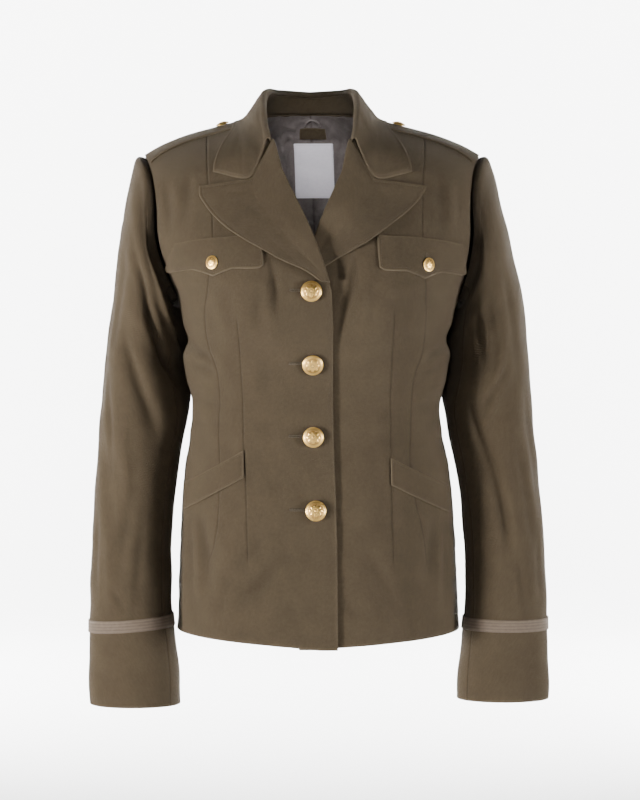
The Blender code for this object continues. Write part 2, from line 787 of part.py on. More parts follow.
def collar_grid(side, trees, columns, leaf_rows):
    """Returns half the collar: up its stand, over the fold and down the leaf."""
    share = np.linspace(0.0, 1.0, columns)
    share = share + 0.06 * np.sin(2 * np.pi * share)
    fold = np.stack([smooth(COLLAR_ROLL, name, share) for name in ("out", "deep", "height")], axis=-1)
    edge = np.stack([smooth(COLLAR_EDGE, name, share) for name in ("out", "deep", "height")], axis=-1)
    seam = np.stack(neck_seam(share), axis=-1)
    axis = np.stack((fold[:, 0], fold[:, 1], np.zeros(columns)), axis=-1)
    along = np.gradient(fold, axis=0)
    along /= np.linalg.norm(along, axis=-1, keepdims=True)
    fall = edge - fold
    fall -= along * np.sum(fall * along, axis=-1, keepdims=True)
    fall /= np.linalg.norm(fall, axis=-1, keepdims=True)
    side_way = np.cross(along, fall)
    side_way *= np.where(np.sum(side_way * axis, axis=-1, keepdims=True) < 0, -1.0, 1.0)
    turn = COLLAR_TURN * (1 - 0.30 * share[:, np.newaxis] ** 3)
    seam = seam - axis / np.linalg.norm(axis, axis=-1, keepdims=True) * (CLOTH + REST)
    tall = np.linalg.norm(seam - fold, axis=-1, keepdims=True)
    ahead = np.clip(2 * share[:, np.newaxis] - 1, 0.0, 1.0)
    rise = seam + (fold - seam) * (0.12 + 0.35 * ahead**2)
    inside = fold + (seam - fold) * np.minimum(0.35, 0.0045 / tall)
    outside = fold + side_way * turn + fall * 0.0045
    top = fold + side_way * turn / 2
    rows = [rise, (rise + inside) / 2, inside, fold + side_way * turn * 0.14 + fall * 0.0012, top]
    rows.append(fold + side_way * turn * 0.86 + fall * 0.0012)
    notch = np.array((NOTCH[0], 0.0, NOTCH[1]))
    notch[1] = -depth(side, notch[0], notch[2], "front") - 0.003
    for step in np.linspace(0.0, 1.0, leaf_rows):
        row = outside * (1 - step) + edge * step
        ends = np.interp(step, (0.0, 0.5, 1.0), (0.0, 1.0, 2.0))
        if ends <= 1:
            target = outside[-1] + (notch - outside[-1]) * ends
        else:
            target = notch + (edge[-1] - notch) * (ends - 1)
        row = row + (share**5)[:, np.newaxis] * (target - row[-1])
        rows.append(row)
    points = np.stack(rows)
    points = placed(side, points[..., 0], points[..., 1], points[..., 2])
    normals = grid_normals(points)
    if np.sum(normals[-1] * (points[-1] - BODY_MIDDLE)) < 0:
        normals = -normals
    for row in range(STAND_ROWS, points.shape[0]):
        step = (row - STAND_ROWS) / (leaf_rows - 1)
        rest = ease((step - 0.25) / 0.5)
        for col in range(columns):
            normal, over = off_skin(trees[0], points[row, col])
            least = CLOTH + LEAF_REST
            target = max(over + (least - over) * rest, least)
            points[row, col] += normal * (target - over)
            turned = normals[row, col] * (1 - rest) + normal * rest
            normals[row, col] = turned / np.linalg.norm(turned)
    return raise_clear(points, normals, trees, STAND_ROWS + 1), normals


def collar(trees):
    """Makes the stand of the collar and the leaf that folds over it."""
    right, right_normals = collar_grid(RIGHT, trees, COLLAR_COLUMNS, LEAF_ROWS)
    left, left_normals = collar_grid(LEFT, trees, COLLAR_COLUMNS, LEAF_ROWS)
    points = np.concatenate((right[:, ::-1], left[:, 1:]), axis=1)
    normals = np.concatenate((right_normals[:, ::-1], left_normals[:, 1:]), axis=1)
    flatten(normals, (slice(None), COLLAR_COLUMNS - 1), 0)
    inner = points - normals * CLOTH
    short = slice(STAND_SHORT, -STAND_SHORT)
    layers = [pull_in(layer[:3, short], (0.0, REST)) for layer in (points, inner)]
    wall_solid("collar_stand", layers[0], layers[1], "wool")
    wall_solid("collar_leaf", points[2:], inner[2:], "wool")


def lapel_outline(side):
    """Returns the corners and edges of a lapel as functions of a share."""
    word = "right" if side == RIGHT else "left"

    def fold(share):
        height = LAPEL_TOP + (LAPEL_END - LAPEL_TOP) * share
        heights = column(FRONT_TOP, "height")
        outs = column(FRONT_TOP, "out")
        return np.interp(height, heights, outs) + 0.0006, height

    def edge(share):
        height = LAPEL_TIP + (LAPEL_END - LAPEL_TIP) * share
        return smooth(LAPEL_EDGE, word, height), height

    return fold, edge


def lapel_grid(side, rows, columns):
    """Returns the out, height and lift of a lapel's grid."""
    fold, edge = lapel_outline(side)
    down = np.linspace(0.0, 1.0, rows)[:, np.newaxis]
    across = np.linspace(0.0, 1.0, columns)[np.newaxis, :]
    fold_out, fold_height = fold(down)
    edge_at, edge_height = edge(down)
    out = fold_out + (edge_at - fold_out) * across
    height = fold_height + (edge_height - fold_height) * across
    notch_out = NOTCH[0] + REST
    notch_height = NOTCH[1] - LAPEL_GAP
    first_out, first_height = fold(0.0)
    tip_out, tip_height = edge(0.0)
    top_out = np.interp(across, (0.0, 0.42, 1.0), (float(first_out), notch_out, float(tip_out)))
    top_up = np.interp(across, (0.0, 0.42, 1.0), (float(first_height), notch_height, float(tip_height)))
    fade = (1 - down) ** 4
    out = out + fade * (top_out - out[:1])
    height = height + fade * (top_up - height[:1])
    roll = LAPEL_STAND * (1 - ease(across / 0.45)) * np.ones_like(down)
    stand = LAPEL_SPRING * ease((down - 0.15) / 0.35) * ease(across / 0.4)
    lift = REST + roll * ease(down / 0.2 + 0.4) + stand
    return out, height, lift


def lapel(side, word):
    """Makes a lapel that lies turned back on its front."""
    out, height, lift = lapel_grid(side, 13, 9)
    low = body_point(side, out, height, "front", lift)
    high = body_point(side, out, height, "front", lift + CLOTH)
    if side == LEFT:
        sunk = under_share(out, height) * (lift + 2 * CLOTH + UNDER_REST)
        low[..., 1] += sunk
        high[..., 1] += sunk
    wall_solid("lapel_" + word, high, low, "wool")


def flap_grid(side, rows, columns):
    """Returns the out and height of a chest flap's grid, its point in the middle."""
    across = np.linspace(0.0, 1.0, columns)[np.newaxis, :]
    down = np.linspace(0.0, 1.0, rows)[:, np.newaxis]
    flap = row_of(FLAPS, side)
    out = flap["in"] + (flap["out"] - flap["in"]) * across
    top = FLAP_TOP - flap["fall"] * across**2.2
    swing = np.abs(2 * across - 1)
    point = FLAP_POINT * np.maximum(1 - swing / 0.42, 0.0) ** 1.2
    corner = FLAP_CORNER * np.clip((swing - 0.86) / 0.14, 0.0, 1.0) ** 2
    bottom = flap["bottom"] - flap["drop"] * swing * across - point + corner
    height = top + (bottom - top) * down
    return out + flap["flare"] * across * down, height


def chest_flap(side, word):
    """Makes a pointed pocket flap on the chest."""
    out, height = flap_grid(side, 4, 13)
    flap = row_of(FLAPS, side)
    lift = REST + FLAP_LIFT * ((out - flap["in"]) / (flap["out"] - flap["in"])) ** 2
    low = body_point(side, out, height, "front", lift)
    high = body_point(side, out, height, "front", lift + FLAP_CLOTH)
    wall_solid("chest_flap_" + word, high, low, "wool")


def welt_grid(side, rows, columns):
    """Returns the out and height of a slanting welt's grid."""
    read = row_of(WELTS, side)
    across = np.linspace(0.0, 1.0, columns)[np.newaxis, :]
    down = np.linspace(0.0, 1.0, rows)[:, np.newaxis]
    out = read["in"] + (read["out"] - read["in"]) * across
    top = read["top_in"] + (read["top_out"] - read["top_in"]) * across
    return np.broadcast_arrays(out, top - read["tall"] * down)


def pocket_welt(side, word):
    """Makes the welt of a lower pocket."""
    out, height = welt_grid(side, 3, 8)
    low = body_point(side, out, height, "front", WELT_REST)
    high = body_point(side, out, height, "front", WELT_REST + WELT_CLOTH)
    wall_solid("pocket_welt_" + word, high, low, "wool")


def shoulder_point(side, out, deep, lift):
    """Returns points on the shoulder at a place seen from above, moved out."""
    def height_at(out, deep):
        facing_front = deep < 0
        ridge = smooth(RIDGE, "height", out)
        low = np.zeros(np.broadcast(out, deep).shape)
        high = low + 0.15
        for _ in range(36):
            middle = (low + high) / 2
            front = depth(side, out, ridge - middle, "front")
            back = depth(side, out, ridge - middle, "back")
            short = np.where(facing_front, front, back) < np.abs(deep)
            low = np.where(short, middle, low)
            high = np.where(short, high, middle)
        return ridge - low

    small = 0.0010
    height = height_at(out, deep)
    slope_out = (height_at(out + small, deep) - height_at(out - small, deep)) / (2 * small)
    slope_deep = (height_at(out, deep + small) - height_at(out, deep - small)) / (2 * small)
    long = np.sqrt(1 + slope_out**2 + slope_deep**2)
    return placed(
        side,
        out - lift * slope_out / long,
        deep - lift * slope_deep / long,
        height + lift / long,
    )


def strap_grid(rows, columns):
    """Returns out and deep over a shoulder strap, pointed at the neck."""
    across = np.linspace(0.0, 1.0, columns)[np.newaxis, :]
    along = np.linspace(0.0, 1.0, rows)[:, np.newaxis]
    swing = 2 * across - 1
    narrow = STRAP_TAPER * (1 - along)
    deep = -STRAP_FRONT + narrow + (STRAP_FRONT + STRAP_BACK - 2 * narrow) * across
    start = STRAP_IN + STRAP_POINT * np.abs(swing) ** 1.5
    end = STRAP_OUT - STRAP_END_CURVE * deep**2
    out = start + (end - start) * along
    return out, deep


def shoulder_strap(side, word):
    """Makes the strap that lies along the shoulder."""
    out, deep = strap_grid(8, 7)
    low = shoulder_point(side, out, deep, REST)
    high = shoulder_point(side, out, deep, REST + STRAP_CLOTH)
    wall_solid("shoulder_strap_" + word, high, low, "wool")


def button(name, seat, normal, wide, segments):
    """Makes a domed button on a short shank, standing on the cloth."""
    half = wide / 2
    profile = (
        (half * 0.26, BUTTON_REST),
        (half * 0.26, half * 0.14),
        (half * 0.94, half * 0.18),
        (half, half * 0.28),
        (half * 0.90, half * 0.38),
        (half * 0.50, half * 0.52),
    )
    points = []
    for radius, rise in profile:
        for step in range(segments):
            turn = 2 * math.pi * step / segments
            points.append((radius * math.cos(turn), radius * math.sin(turn), rise))
    points.append((0.0, 0.0, half * 0.59))
    faces = [tuple(range(segments))]
    for ring in range(len(profile) - 1):
        for step in range(segments):
            first = ring * segments + step
            second = ring * segments + (step + 1) % segments
            faces.append((first, second, second + segments, first + segments))
    base = (len(profile) - 1) * segments
    for step in range(segments):
        faces.append((base + step, base + (step + 1) % segments, len(points) - 1))
    turn = Vector((0, 0, 1)).rotation_difference(Vector(normal))
    moved = [turn @ Vector(point) + Vector(seat) for point in points]
    return add_object(name, moved, faces, "brass")


def seat_on_front(side, out, height, lift):
    """Returns a place on a front and the way out of it."""
    seat = body_point(side, out, height, "front", lift)
    over = body_point(side, out, height, "front", lift + 0.01)
    way = over - seat
    return seat, way / np.linalg.norm(way)


def lining_back(side, word):
    """Makes half the lining of the back from the back's own grid, moved in."""
    out, height = body_grid("back", LOW_ROWS, ARM_STEPS, BACK_COLUMNS)
    out = out[1:-1, :-1]
    height = height[1:-1, :-1]
    layers = []
    for lift in (CLOTH + REST, CLOTH + REST + LINING):
        layer = body_point(side, out, height, "back", -lift)
        layers.append(pull_in(layer, (0.0, 0.0), (SEAM_GAP / 2, 0.0)))
    wall_solid("lining_back_" + word, layers[0], layers[1], "lining")


def back_plate(name, half, ends, layers, slot, counts):
    """Makes a thin rectangle that lies on the lining of the back."""
    start, thick = layers
    out = np.linspace(-half, half, counts[1])[np.newaxis, :] + LABEL_SHIFT
    height = np.linspace(ends[0], ends[1], counts[0])[:, np.newaxis]
    out, height = np.broadcast_arrays(out, height)
    start = start + TOP_REST * ease((height - TOP_REST_FROM) / (-TOP_REST_FROM / 2))
    low = body_point(LEFT, out, height, "back", -start)
    high = body_point(LEFT, out, height, "back", -(start + thick))
    wall_solid(name, low, high, slot)


def hanger_loop():
    """Makes the small loop of cord at the back of the neck."""
    turns = np.linspace(0.0, math.pi, 11)
    lift = CLOTH + REST + LINING + 2 * PLATE_REST + LOOP_TUBE
    out = -LOOP_HALF * np.cos(turns) + LABEL_SHIFT
    height = LOOP_LOW + LOOP_TALL * np.sin(turns) ** 0.8
    path = body_point(LEFT, out, height, "back", -lift)
    along = np.gradient(path, axis=0)
    along /= np.linalg.norm(along, axis=-1, keepdims=True)
    inward = np.cross(along, np.array((0.0, 1.0, 0.0)))
    inward /= np.linalg.norm(inward, axis=-1, keepdims=True)
    up = np.cross(inward, along)
    points = []
    sides = 8
    for index in range(len(path)):
        for step in range(sides):
            turn = 2 * math.pi * step / sides
            ring = inward[index] * math.cos(turn) + up[index] * math.sin(turn)
            points.append(path[index] + ring * LOOP_TUBE)
    faces = [tuple(range(sides)), tuple(range(len(points) - sides, len(points)))]
    for index in range(len(path) - 1):
        for step in range(sides):
            first = index * sides + step
            second = index * sides + (step + 1) % sides
            faces.append((first, second, second + sides, first + sides))
    add_object("hanger_loop", points, faces, "lining")


def build():
    """Makes every piece of the jacket."""
    for thing in list(bpy.data.objects):
        bpy.data.objects.remove(thing, do_unlink=True)
    cut = {"front": FRONT_COLUMNS, "back": BACK_COLUMNS}
    fine = {"front": SKIN_COLUMNS, "back": SKIN_COLUMNS}
    trees = (body_skin(SKIN_ROWS, SKIN_ROWS, fine), body_skin(LOW_ROWS, ARM_STEPS, cut))
    words = {RIGHT: "right", LEFT: "left"}
    for side, word in words.items():
        body_panel("front_" + word, side, "front", FRONT_COLUMNS)
        body_panel("back_" + word, side, "back", BACK_COLUMNS)
        sleeve(side, word)
        cuff_braid(side, word)
        lapel(side, word)
        chest_flap(side, word)
        pocket_welt(side, word)
        shoulder_strap(side, word)
        lining_back(side, word)
        flap = row_of(FLAPS, side)
        seat, way = seat_on_front(side, flap["button_out"], flap["button_height"], REST + FLAP_CLOTH)
        button("flap_button_" + word, seat, way, SMALL_BUTTON, 12)
        out = np.array(STRAP_IN + STRAP_BUTTON_IN)
        deep = np.array((STRAP_BACK - STRAP_FRONT) / 2)
        seat = shoulder_point(side, out, deep, REST + STRAP_CLOTH)
        way = shoulder_point(side, out, deep, REST + STRAP_CLOTH + 0.01) - seat
        button("strap_button_" + word, seat, way / np.linalg.norm(way), SMALL_BUTTON, 12)
    for number, height in enumerate(BUTTON_HEIGHTS, start=1):
        out = BUTTON_IN - float(smooth(FRONT_EDGE, "past", height))
        seat, way = seat_on_front(RIGHT, out, height, FIRST_BUTTON_LIFT if number == 1 else 0.0)
        button("front_button_" + str(number), seat, way, FRONT_BUTTON, 18)
    collar(trees)
    start = CLOTH + REST + LINING + PLATE_REST
    back_plate("neck_patch", PATCH_HALF, (PATCH_TOP, PATCH_BOTTOM), (start, PATCH_CLOTH), "wool", (3, 5))
    back_plate("label", LABEL_HALF, (LABEL_TOP, LABEL_BOTTOM), (start, LABEL_CLOTH), "label", (7, 6))
    hanger_loop()


build()
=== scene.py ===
# %% [markdown]
# # A woman's wool jacket, filled out with nobody in it
# The jacket is built as a tailor builds it: fronts, backs, two-piece sleeves, a collar with
# its stand, lapels, flaps, welts, shoulder straps, a bit of lining and eight brass buttons.
# The solids of the frame already have the right sizes, so each cloth piece here follows the
# same curves with many more points, which leaves room for creases, seams and stitches.

# %% Load the solids
import math

import bmesh
import bpy
import numpy as np
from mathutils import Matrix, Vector
from mathutils.bvhtree import BVHTree


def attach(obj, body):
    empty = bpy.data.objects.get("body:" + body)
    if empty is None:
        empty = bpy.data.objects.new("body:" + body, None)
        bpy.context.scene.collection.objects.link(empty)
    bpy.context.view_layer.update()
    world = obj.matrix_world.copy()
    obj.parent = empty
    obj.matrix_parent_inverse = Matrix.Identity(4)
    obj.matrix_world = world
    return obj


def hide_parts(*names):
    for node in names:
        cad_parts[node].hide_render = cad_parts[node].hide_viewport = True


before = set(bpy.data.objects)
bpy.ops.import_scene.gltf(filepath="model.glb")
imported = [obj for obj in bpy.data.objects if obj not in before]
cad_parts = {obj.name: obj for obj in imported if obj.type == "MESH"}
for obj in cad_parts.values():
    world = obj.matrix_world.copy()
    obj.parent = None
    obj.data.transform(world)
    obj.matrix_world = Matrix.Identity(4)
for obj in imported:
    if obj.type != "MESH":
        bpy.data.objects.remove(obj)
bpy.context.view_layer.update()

# %% [markdown]
# ## The camera
# A catalogue photograph is taken level, from a few metres away, with a long lens. The lens is
# worked out from one length: how many millimetres one pixel covers at the middle plane.
# A vertical sensor fit keeps that true whatever the shape of the picture is.

# %% Camera
FRAME_TALL = 800
PIXEL = 0.00112
CAMERA_FAR = 3.0
CAMERA_RISE = math.radians(2.5)
CAMERA_TARGET = Vector((0.00224, 0.0, -0.31808))


def show(thing):
    """Puts an object into the scene."""
    bpy.context.scene.collection.objects.link(thing)
    return thing


camera_data = bpy.data.cameras.new("camera")
camera_data.sensor_fit = "VERTICAL"
camera_data.sensor_height = 24.0
camera_data.lens = camera_data.sensor_height * CAMERA_FAR / (PIXEL * FRAME_TALL)
camera = show(bpy.data.objects.new("camera", camera_data))
away = Vector((0.0, -math.cos(CAMERA_RISE), math.sin(CAMERA_RISE)))
camera.location = CAMERA_TARGET + CAMERA_FAR * away
camera.rotation_euler = (math.pi / 2 - CAMERA_RISE, 0.0, 0.0)
bpy.context.scene.camera = camera
print("lens:", round(camera_data.lens, 1), "mm")

# %% [markdown]
# ## Floor and light
# The jacket hangs as if worn, so nothing of it touches the floor. The floor is one sheet that
# curves up behind, as a paper roll does in a studio: a plain pale surface with no horizon.
# Area lights are soft, and a large one on one side with a weak one on the other shows the
# folds of dark cloth far better than light from all sides.

# %% Floor
FLOOR_HEIGHT = -0.86
FLOOR_HALF = 6.0
ROLL_START = 2.2
ROLL_RADIUS = 1.4
ROLL_TOP = 3.5


def paper_roll():
    """Makes a floor that curves up into a wall behind the jacket."""
    profile = [(-FLOOR_HALF, FLOOR_HEIGHT), (ROLL_START, FLOOR_HEIGHT)]
    for step in range(1, 17):
        turn = math.pi / 2 * step / 16
        profile.append(
            (ROLL_START + ROLL_RADIUS * math.sin(turn), FLOOR_HEIGHT + ROLL_RADIUS * (1 - math.cos(turn)))
        )
    profile.append((ROLL_START + ROLL_RADIUS, ROLL_TOP))
    points = [(side * FLOOR_HALF, deep, height) for deep, height in profile for side in (-1, 1)]
    faces = [(2 * i, 2 * i + 1, 2 * i + 3, 2 * i + 2) for i in range(len(profile) - 1)]
    mesh = bpy.data.meshes.new("floor")
    mesh.from_pydata(points, [], faces)
    mesh.shade_smooth()
    return show(bpy.data.objects.new("floor", mesh))


floor = paper_roll()
paper = bpy.data.materials.new("pale_paper")
paper.use_nodes = True
paper_shader = paper.node_tree.nodes["Principled BSDF"]
paper_shader.inputs["Base Color"].default_value = (0.92, 0.92, 0.92, 1.0)
paper_shader.inputs["Roughness"].default_value = 0.9
floor.data.materials.append(paper)

# %% Lights
LIGHTS = (
    ("name", "place", "aim", "size", "power", "colour"),
    ("key", (-2.85, -1.60, -0.60), (0.0, 0.0, -0.28), 0.7, 262.0, (1.0, 0.97, 0.92)),
    ("fill", (2.80, -1.50, -0.55), (0.0, 0.0, -0.28), 0.9, 150.0, (1.0, 0.985, 0.96)),
    ("front", (-0.5, -3.7, 0.10), (0.0, 0.0, -0.28), 0.5, 14.0, (1.0, 0.985, 0.96)),
    ("wall_left", (-1.9, 1.0, 0.1), (-1.0, 2.8, -0.15), 1.2, 420.0, (1.0, 1.0, 1.0)),
    ("wall_right", (1.9, 1.0, 0.1), (1.0, 2.8, -0.15), 1.2, 420.0, (1.0, 1.0, 1.0)),
)


def place_lamp(lamp_data, place, aim):
    """Puts a lamp at a place and turns it to what it lights."""
    lamp = show(bpy.data.objects.new(lamp_data.name, lamp_data))
    lamp.location = place
    lamp.rotation_euler = (Vector(aim) - Vector(place)).to_track_quat("-Z", "Y").to_euler()


for name, place, aim, size, power, colour in LIGHTS[1:]:
    lamp_data = bpy.data.lights.new(name, "AREA")
    lamp_data.shape = "DISK"
    lamp_data.size = size
    lamp_data.energy = power
    lamp_data.color = colour
    place_lamp(lamp_data, place, aim)

# A narrow soft spot lights the label and the lining through the open neck.
SPOTS = (
    ("name", "place", "aim", "angle", "power"),
    ("neck", (0.0, -3.2, 0.80), (-0.005, 0.08, -0.025), 3.0, 430.0),
    ("paper", (0.0, 1.4, 3.2), (0.0, 1.4, -0.86), 40.0, 1300.0),
)
for name, place, aim, angle, power in SPOTS[1:]:
    lamp_data = bpy.data.lights.new(name, "SPOT")
    lamp_data.spot_size = math.radians(angle)
    lamp_data.spot_blend = 0.9
    lamp_data.shadow_soft_size = 0.05
    lamp_data.energy = power
    place_lamp(lamp_data, place, aim)
world = bpy.data.worlds.new("studio")
world.use_nodes = True
world.node_tree.nodes["Background"].inputs["Color"].default_value = (0.95, 0.97, 1.0, 1.0)
world.node_tree.nodes["Background"].inputs["Strength"].default_value = 0.05
bpy.context.scene.world = world
print("lights:", len(LIGHTS) + len(SPOTS) - 2)

# %% [markdown]
# ## Sizes
# All lengths are in metres. A side is -1 for the wearer's right and 1 for the wearer's left,
# and "out" is the distance from the middle line towards that side. Each table has its column
# names in its first row and is read as a smooth curve, so a shape is changed by one number.
# To keep the tables short they count in tenths of a millimetre: 1590 stands for 159.0 mm. A
# row of folds or creases gives two ends (out and height), a width and a depth inwards. On a
# sleeve the ends are an angle in degrees and a way down in millimetres.

# %% Reading a table
RIGHT = -1
LEFT = 1
BODY_UNITS = (10000,) * 6
SLEEVE_UNITS = (1, 1000, 1, 1000, 10000, 10000)


def tenths(names, *rows):
    """Turns rows in tenths of a millimetre into metres, under the names of their columns."""
    return (names,) + tuple(tuple(value / 10000 for value in row) for row in rows)


def trough_rows(units, right, left):
    """Turns rows of whole numbers into metres and degrees, each with its side in front."""
    return [
        (side, *(value / share for value, share in zip(row, units)))
        for side, rows in ((RIGHT, right), (LEFT, left))
        for row in rows
    ]


def column(table, name):
    """Returns one named column of a table."""
    place = table[0].index(name)
    return np.array([row[place] for row in table[1:]], dtype=float)


def smooth(table, name, at):
    """Reads a column as a smooth curve over the first column, with no overshoot."""
    keys = column(table, table[0][0])
    values = column(table, name)
    steps = np.diff(keys)
    rises = np.diff(values) / steps
    slopes = np.zeros(len(keys))
    both = rises[:-1] * rises[1:] > 0
    total = rises[:-1] + rises[1:]
    total[~both] = 1.0
    slopes[1:-1] = np.where(both, 2 * rises[:-1] * rises[1:] / total, 0.0)
    slopes[0] = rises[0]
    slopes[-1] = rises[-1]
    at = np.clip(np.asarray(at, dtype=float), keys[0], keys[-1])
    index = np.clip(np.searchsorted(keys, at) - 1, 0, len(steps) - 1)
    step = steps[index]
    t = (at - keys[index]) / step
    here = (2 * t**3 - 3 * t**2 + 1) * values[index]
    there = (3 * t**2 - 2 * t**3) * values[index + 1]
    slope_here = (t**3 - 2 * t**2 + t) * step * slopes[index]
    slope_there = (t**3 - t**2) * step * slopes[index + 1]
    return here + there + slope_here + slope_there


def halve(low, high, rounds, is_low):
    """Closes in on the places where a test turns, from both sides."""
    for _ in range(rounds):
        middle = (low + high) / 2
        below = is_low(middle)
        low = np.where(below, middle, low)
        high = np.where(below, high, middle)
    return low


def near(distance, width):
    """Returns a mask that is 1 at no distance and fades out over a width."""
    return np.exp(-((distance / width) ** 2))


def unit(ways):
    """Returns ways with a length of one."""
    return ways / np.linalg.norm(ways, axis=-1, keepdims=True)


def ease(value):
    """Goes softly from 0 to 1."""
    value = np.clip(value, 0.0, 1.0)
    return value * value * (3 - 2 * value)


def row_of(table, first):
    """Returns the row of a table that starts with a value, by its column names."""
    return dict(zip(table[0], next(row for row in table[1:] if row[0] == first)))


def fold_depth(table, side, first, second, scale=1.0):
    """Adds up the folds that lie near each point of one side."""
    total = np.zeros(np.broadcast(first, second).shape)
    for row in table:
        if row[0] != side:
            continue
        start = np.array((row[1] * scale, row[2]))
        end = np.array((row[3] * scale, row[4]))
        way = end - start
        share = ((first * scale - start[0]) * way[0] + (second - start[1]) * way[1]) / (way @ way)
        held = np.clip(share, 0.0, 1.0)
        gap = np.hypot(first * scale - start[0] - held * way[0], second - start[1] - held * way[1])
        fade = np.sin(np.pi * np.clip(held, 0.04, 0.96)) ** 0.7
        total = total + row[6] * fade * np.exp(-(gap / row[5]) ** 2)
    return total

# %% Sizes of the body
CLOTH = 0.0020
LINING = 0.0010
BRAID = 0.0011
SEAM_GAP = 0.00006
REST = 0.0005
UNDERARM = -0.205
SHOULDER_HEIGHT = -0.047
NECK_OUT = 0.070
BACK_NECK = 0.004
SIDE_NECK = -0.005
SHOULDER_ROUND = 0.050
BODY_POWER = 2.4
HEM_FRONT = -0.582
HEM_SIDE = -0.571
UNDERLAP = 0.0027
UNDER_REST = 0.0018
BODY_MIDDLE = (0.0, 0.0, -0.150)
LOW_ROWS = 15
ARM_STEPS = 10
FRONT_COLUMNS = 22
BACK_COLUMNS = 12
BACK_SPREAD = 1.15
FRONT_SPREAD = ((0.0, 0.18, 0.43, 1.0), (0.0, 0.18, 0.35, 1.0))
SKIN_ROWS = 30
SKIN_COLUMNS = 60

# Sections round the body: height, half width, depth to the front and to the back.
BODY = tenths(
    ("height", "half_width", "front", "back"),
    (-6000, 1590, 1300, 1190),
    (-5100, 1555, 1280, 1160),
    (-4350, 1520, 1240, 1060),
    (-3950, 1485, 1210, 980),
    (-3600, 1415, 1190, 920),
    (-3250, 1385, 1190, 880),
    (-2970, 1440, 1220, 880),
    (-2680, 1495, 1290, 900),
    (-2500, 1450, 1350, 930),
    (-2320, 1500, 1390, 970),
    (-2050, 1560, 1410, 1040),
    (-1500, 1700, 1320, 1080),
    (-1000, 1715, 1140, 1020),
    (-600, 1790, 940, 900),
    (-300, 1900, 760, 770),
    (0, 2000, 560, 640),
    (400, 2100, 500, 580),
)

# The armhole edge: height and how far out it lies.
ARMHOLE = tenths(
    ("height", "out"),
    (-2050, 1560), (-1950, 1590), (-1770, 1640), (-1540, 1690),
    (-1320, 1715), (-1030, 1720), (-720, 1755), (-550, 1810),
    (-470, 1865), (-200, 2000), (400, 2150),
)

# The ridge of the shoulder, with its line carried on inside the neck.
RIDGE = tenths(
    ("out", "height"),
    (0, 450), (700, -50), (1000, -140), (1350, -235), (1650, -350),
    (1865, -470), (2200, -680),
)

# The top of a front: down the neck seam and the fold of the lapel.
FRONT_TOP = tenths(
    ("out", "height"),
    (-240, -2140), (-145, -1940), (-85, -1670), (0, -1400), (185, -980),
    (335, -670), (415, -370), (560, -200), (700, -50),
)

# How far each front's edge passes the middle line.
FRONT_EDGE = tenths(
    ("height", "past"),
    (-6000, 205), (-4850, 205), (-3600, 185), (-2370, 165),
    (-1940, 145), (0, 145),
)

# The jacket hangs a little to its right at the neck.
LEAN = tenths(
    ("height", "shift"),
    (-6600, 10), (-5000, 0), (-4000, -10), (-3300, -20), (-2600, -10),
    (-2000, 0), (-1500, -35), (-1000, -50), (-500, -65), (0, -85),
    (400, -90),
)

# Fullness cut into the front at the chest and into the back at the shoulder blades.
FULLNESS = (
    ("facing", "out", "height", "wide", "tall", "rise"),
    ("front", 0.083, -0.205, 0.045, 0.060, 0.0090),
    ("back", 0.075, -0.130, 0.045, 0.060, 0.0060),
)

# Large folds of a front: from a point to a point, width, and depth inwards.
FOLDS = trough_rows(
    BODY_UNITS,
    (
        (470, -1660, 400, -2250, 90, 26), (300, -4750, 950, -5400, 140, 30),
        (1200, -4500, 1300, -5500, 130, 30),
    ),
    (
        (380, -1700, 160, -2500, 90, 24), (1150, -4600, 1300, -5500, 130, 30),
        (500, -4700, 700, -5600, 150, 24),
    ),
)

# %% [markdown]
# ## The shape of the body
# A section through the chest is close to a superellipse, flatter than an ellipse at the front
# and back. Its half width and depths change with height. Above the armhole the section is cut
# off at the sides, and near the shoulder ridge the depth runs out, so the front and the back
# meet there in a rounded line.

# %% Points on the body

def armhole_share(height):
    """Returns the part of the body's depth that is left at the armhole edge."""
    climb = np.clip((height - UNDERARM) / (SHOULDER_HEIGHT - UNDERARM), 0.0, 1.0)
    return 0.56 * (1 - (1 - climb) ** 2) ** 0.55


def edge_out(height):
    """Returns how far out the side seam or the armhole lies."""
    low = smooth(BODY, "half_width", height)
    high = smooth(ARMHOLE, "out", height)
    return np.where(height <= UNDERARM, low, high)


def full_half(height):
    """Returns the half width that a body section would have with no armhole."""
    share = armhole_share(height)
    return edge_out(height) / (1 - share**BODY_POWER) ** (1 / BODY_POWER)


def depth(side, out, height, facing):
    """Returns how far the cloth lies before or behind the middle plane."""
    spread = np.clip(np.abs(out) / full_half(height), 0.0, 1.0)
    across = (1 - spread**BODY_POWER) ** (1 / BODY_POWER)
    below = np.clip((smooth(RIDGE, "height", np.abs(out)) - height) / SHOULDER_ROUND, 0.0, 1.0)
    over = (1 - (1 - below) ** 2) ** 0.6
    value = smooth(BODY, facing, height) * across * over
    if facing == "front":
        value = value - fold_depth(FOLDS, side, out, height) * across
    read = row_of(FULLNESS, facing)
    beside = (np.abs(out) - read["out"]) / read["wide"]
    above = (height - read["height"]) / read["tall"]
    return value + read["rise"] * np.exp(-(beside**2) - above**2) * across


def placed(side, out, deep, height):
    """Puts a point on its side of the jacket, with the lean of the whole."""
    out, deep, height = np.broadcast_arrays(out, deep, height)
    shift = smooth(LEAN, "shift", height)
    return np.stack((side * out + shift, deep, height), axis=-1)


def body_normal(side, out, height, facing):
    """Returns the way out of the body's cloth, as seen on the left side."""
    small = 0.0008
    slope_out = depth(side, out + small, height, facing) - depth(side, out - small, height, facing)
    slope_up = depth(side, out, height + small, facing) - depth(side, out, height - small, facing)
    turn = -2 * small if facing == "front" else 2 * small
    normal = np.stack((-slope_out, turn * np.ones_like(slope_out), -slope_up), axis=-1)
    return unit(normal)


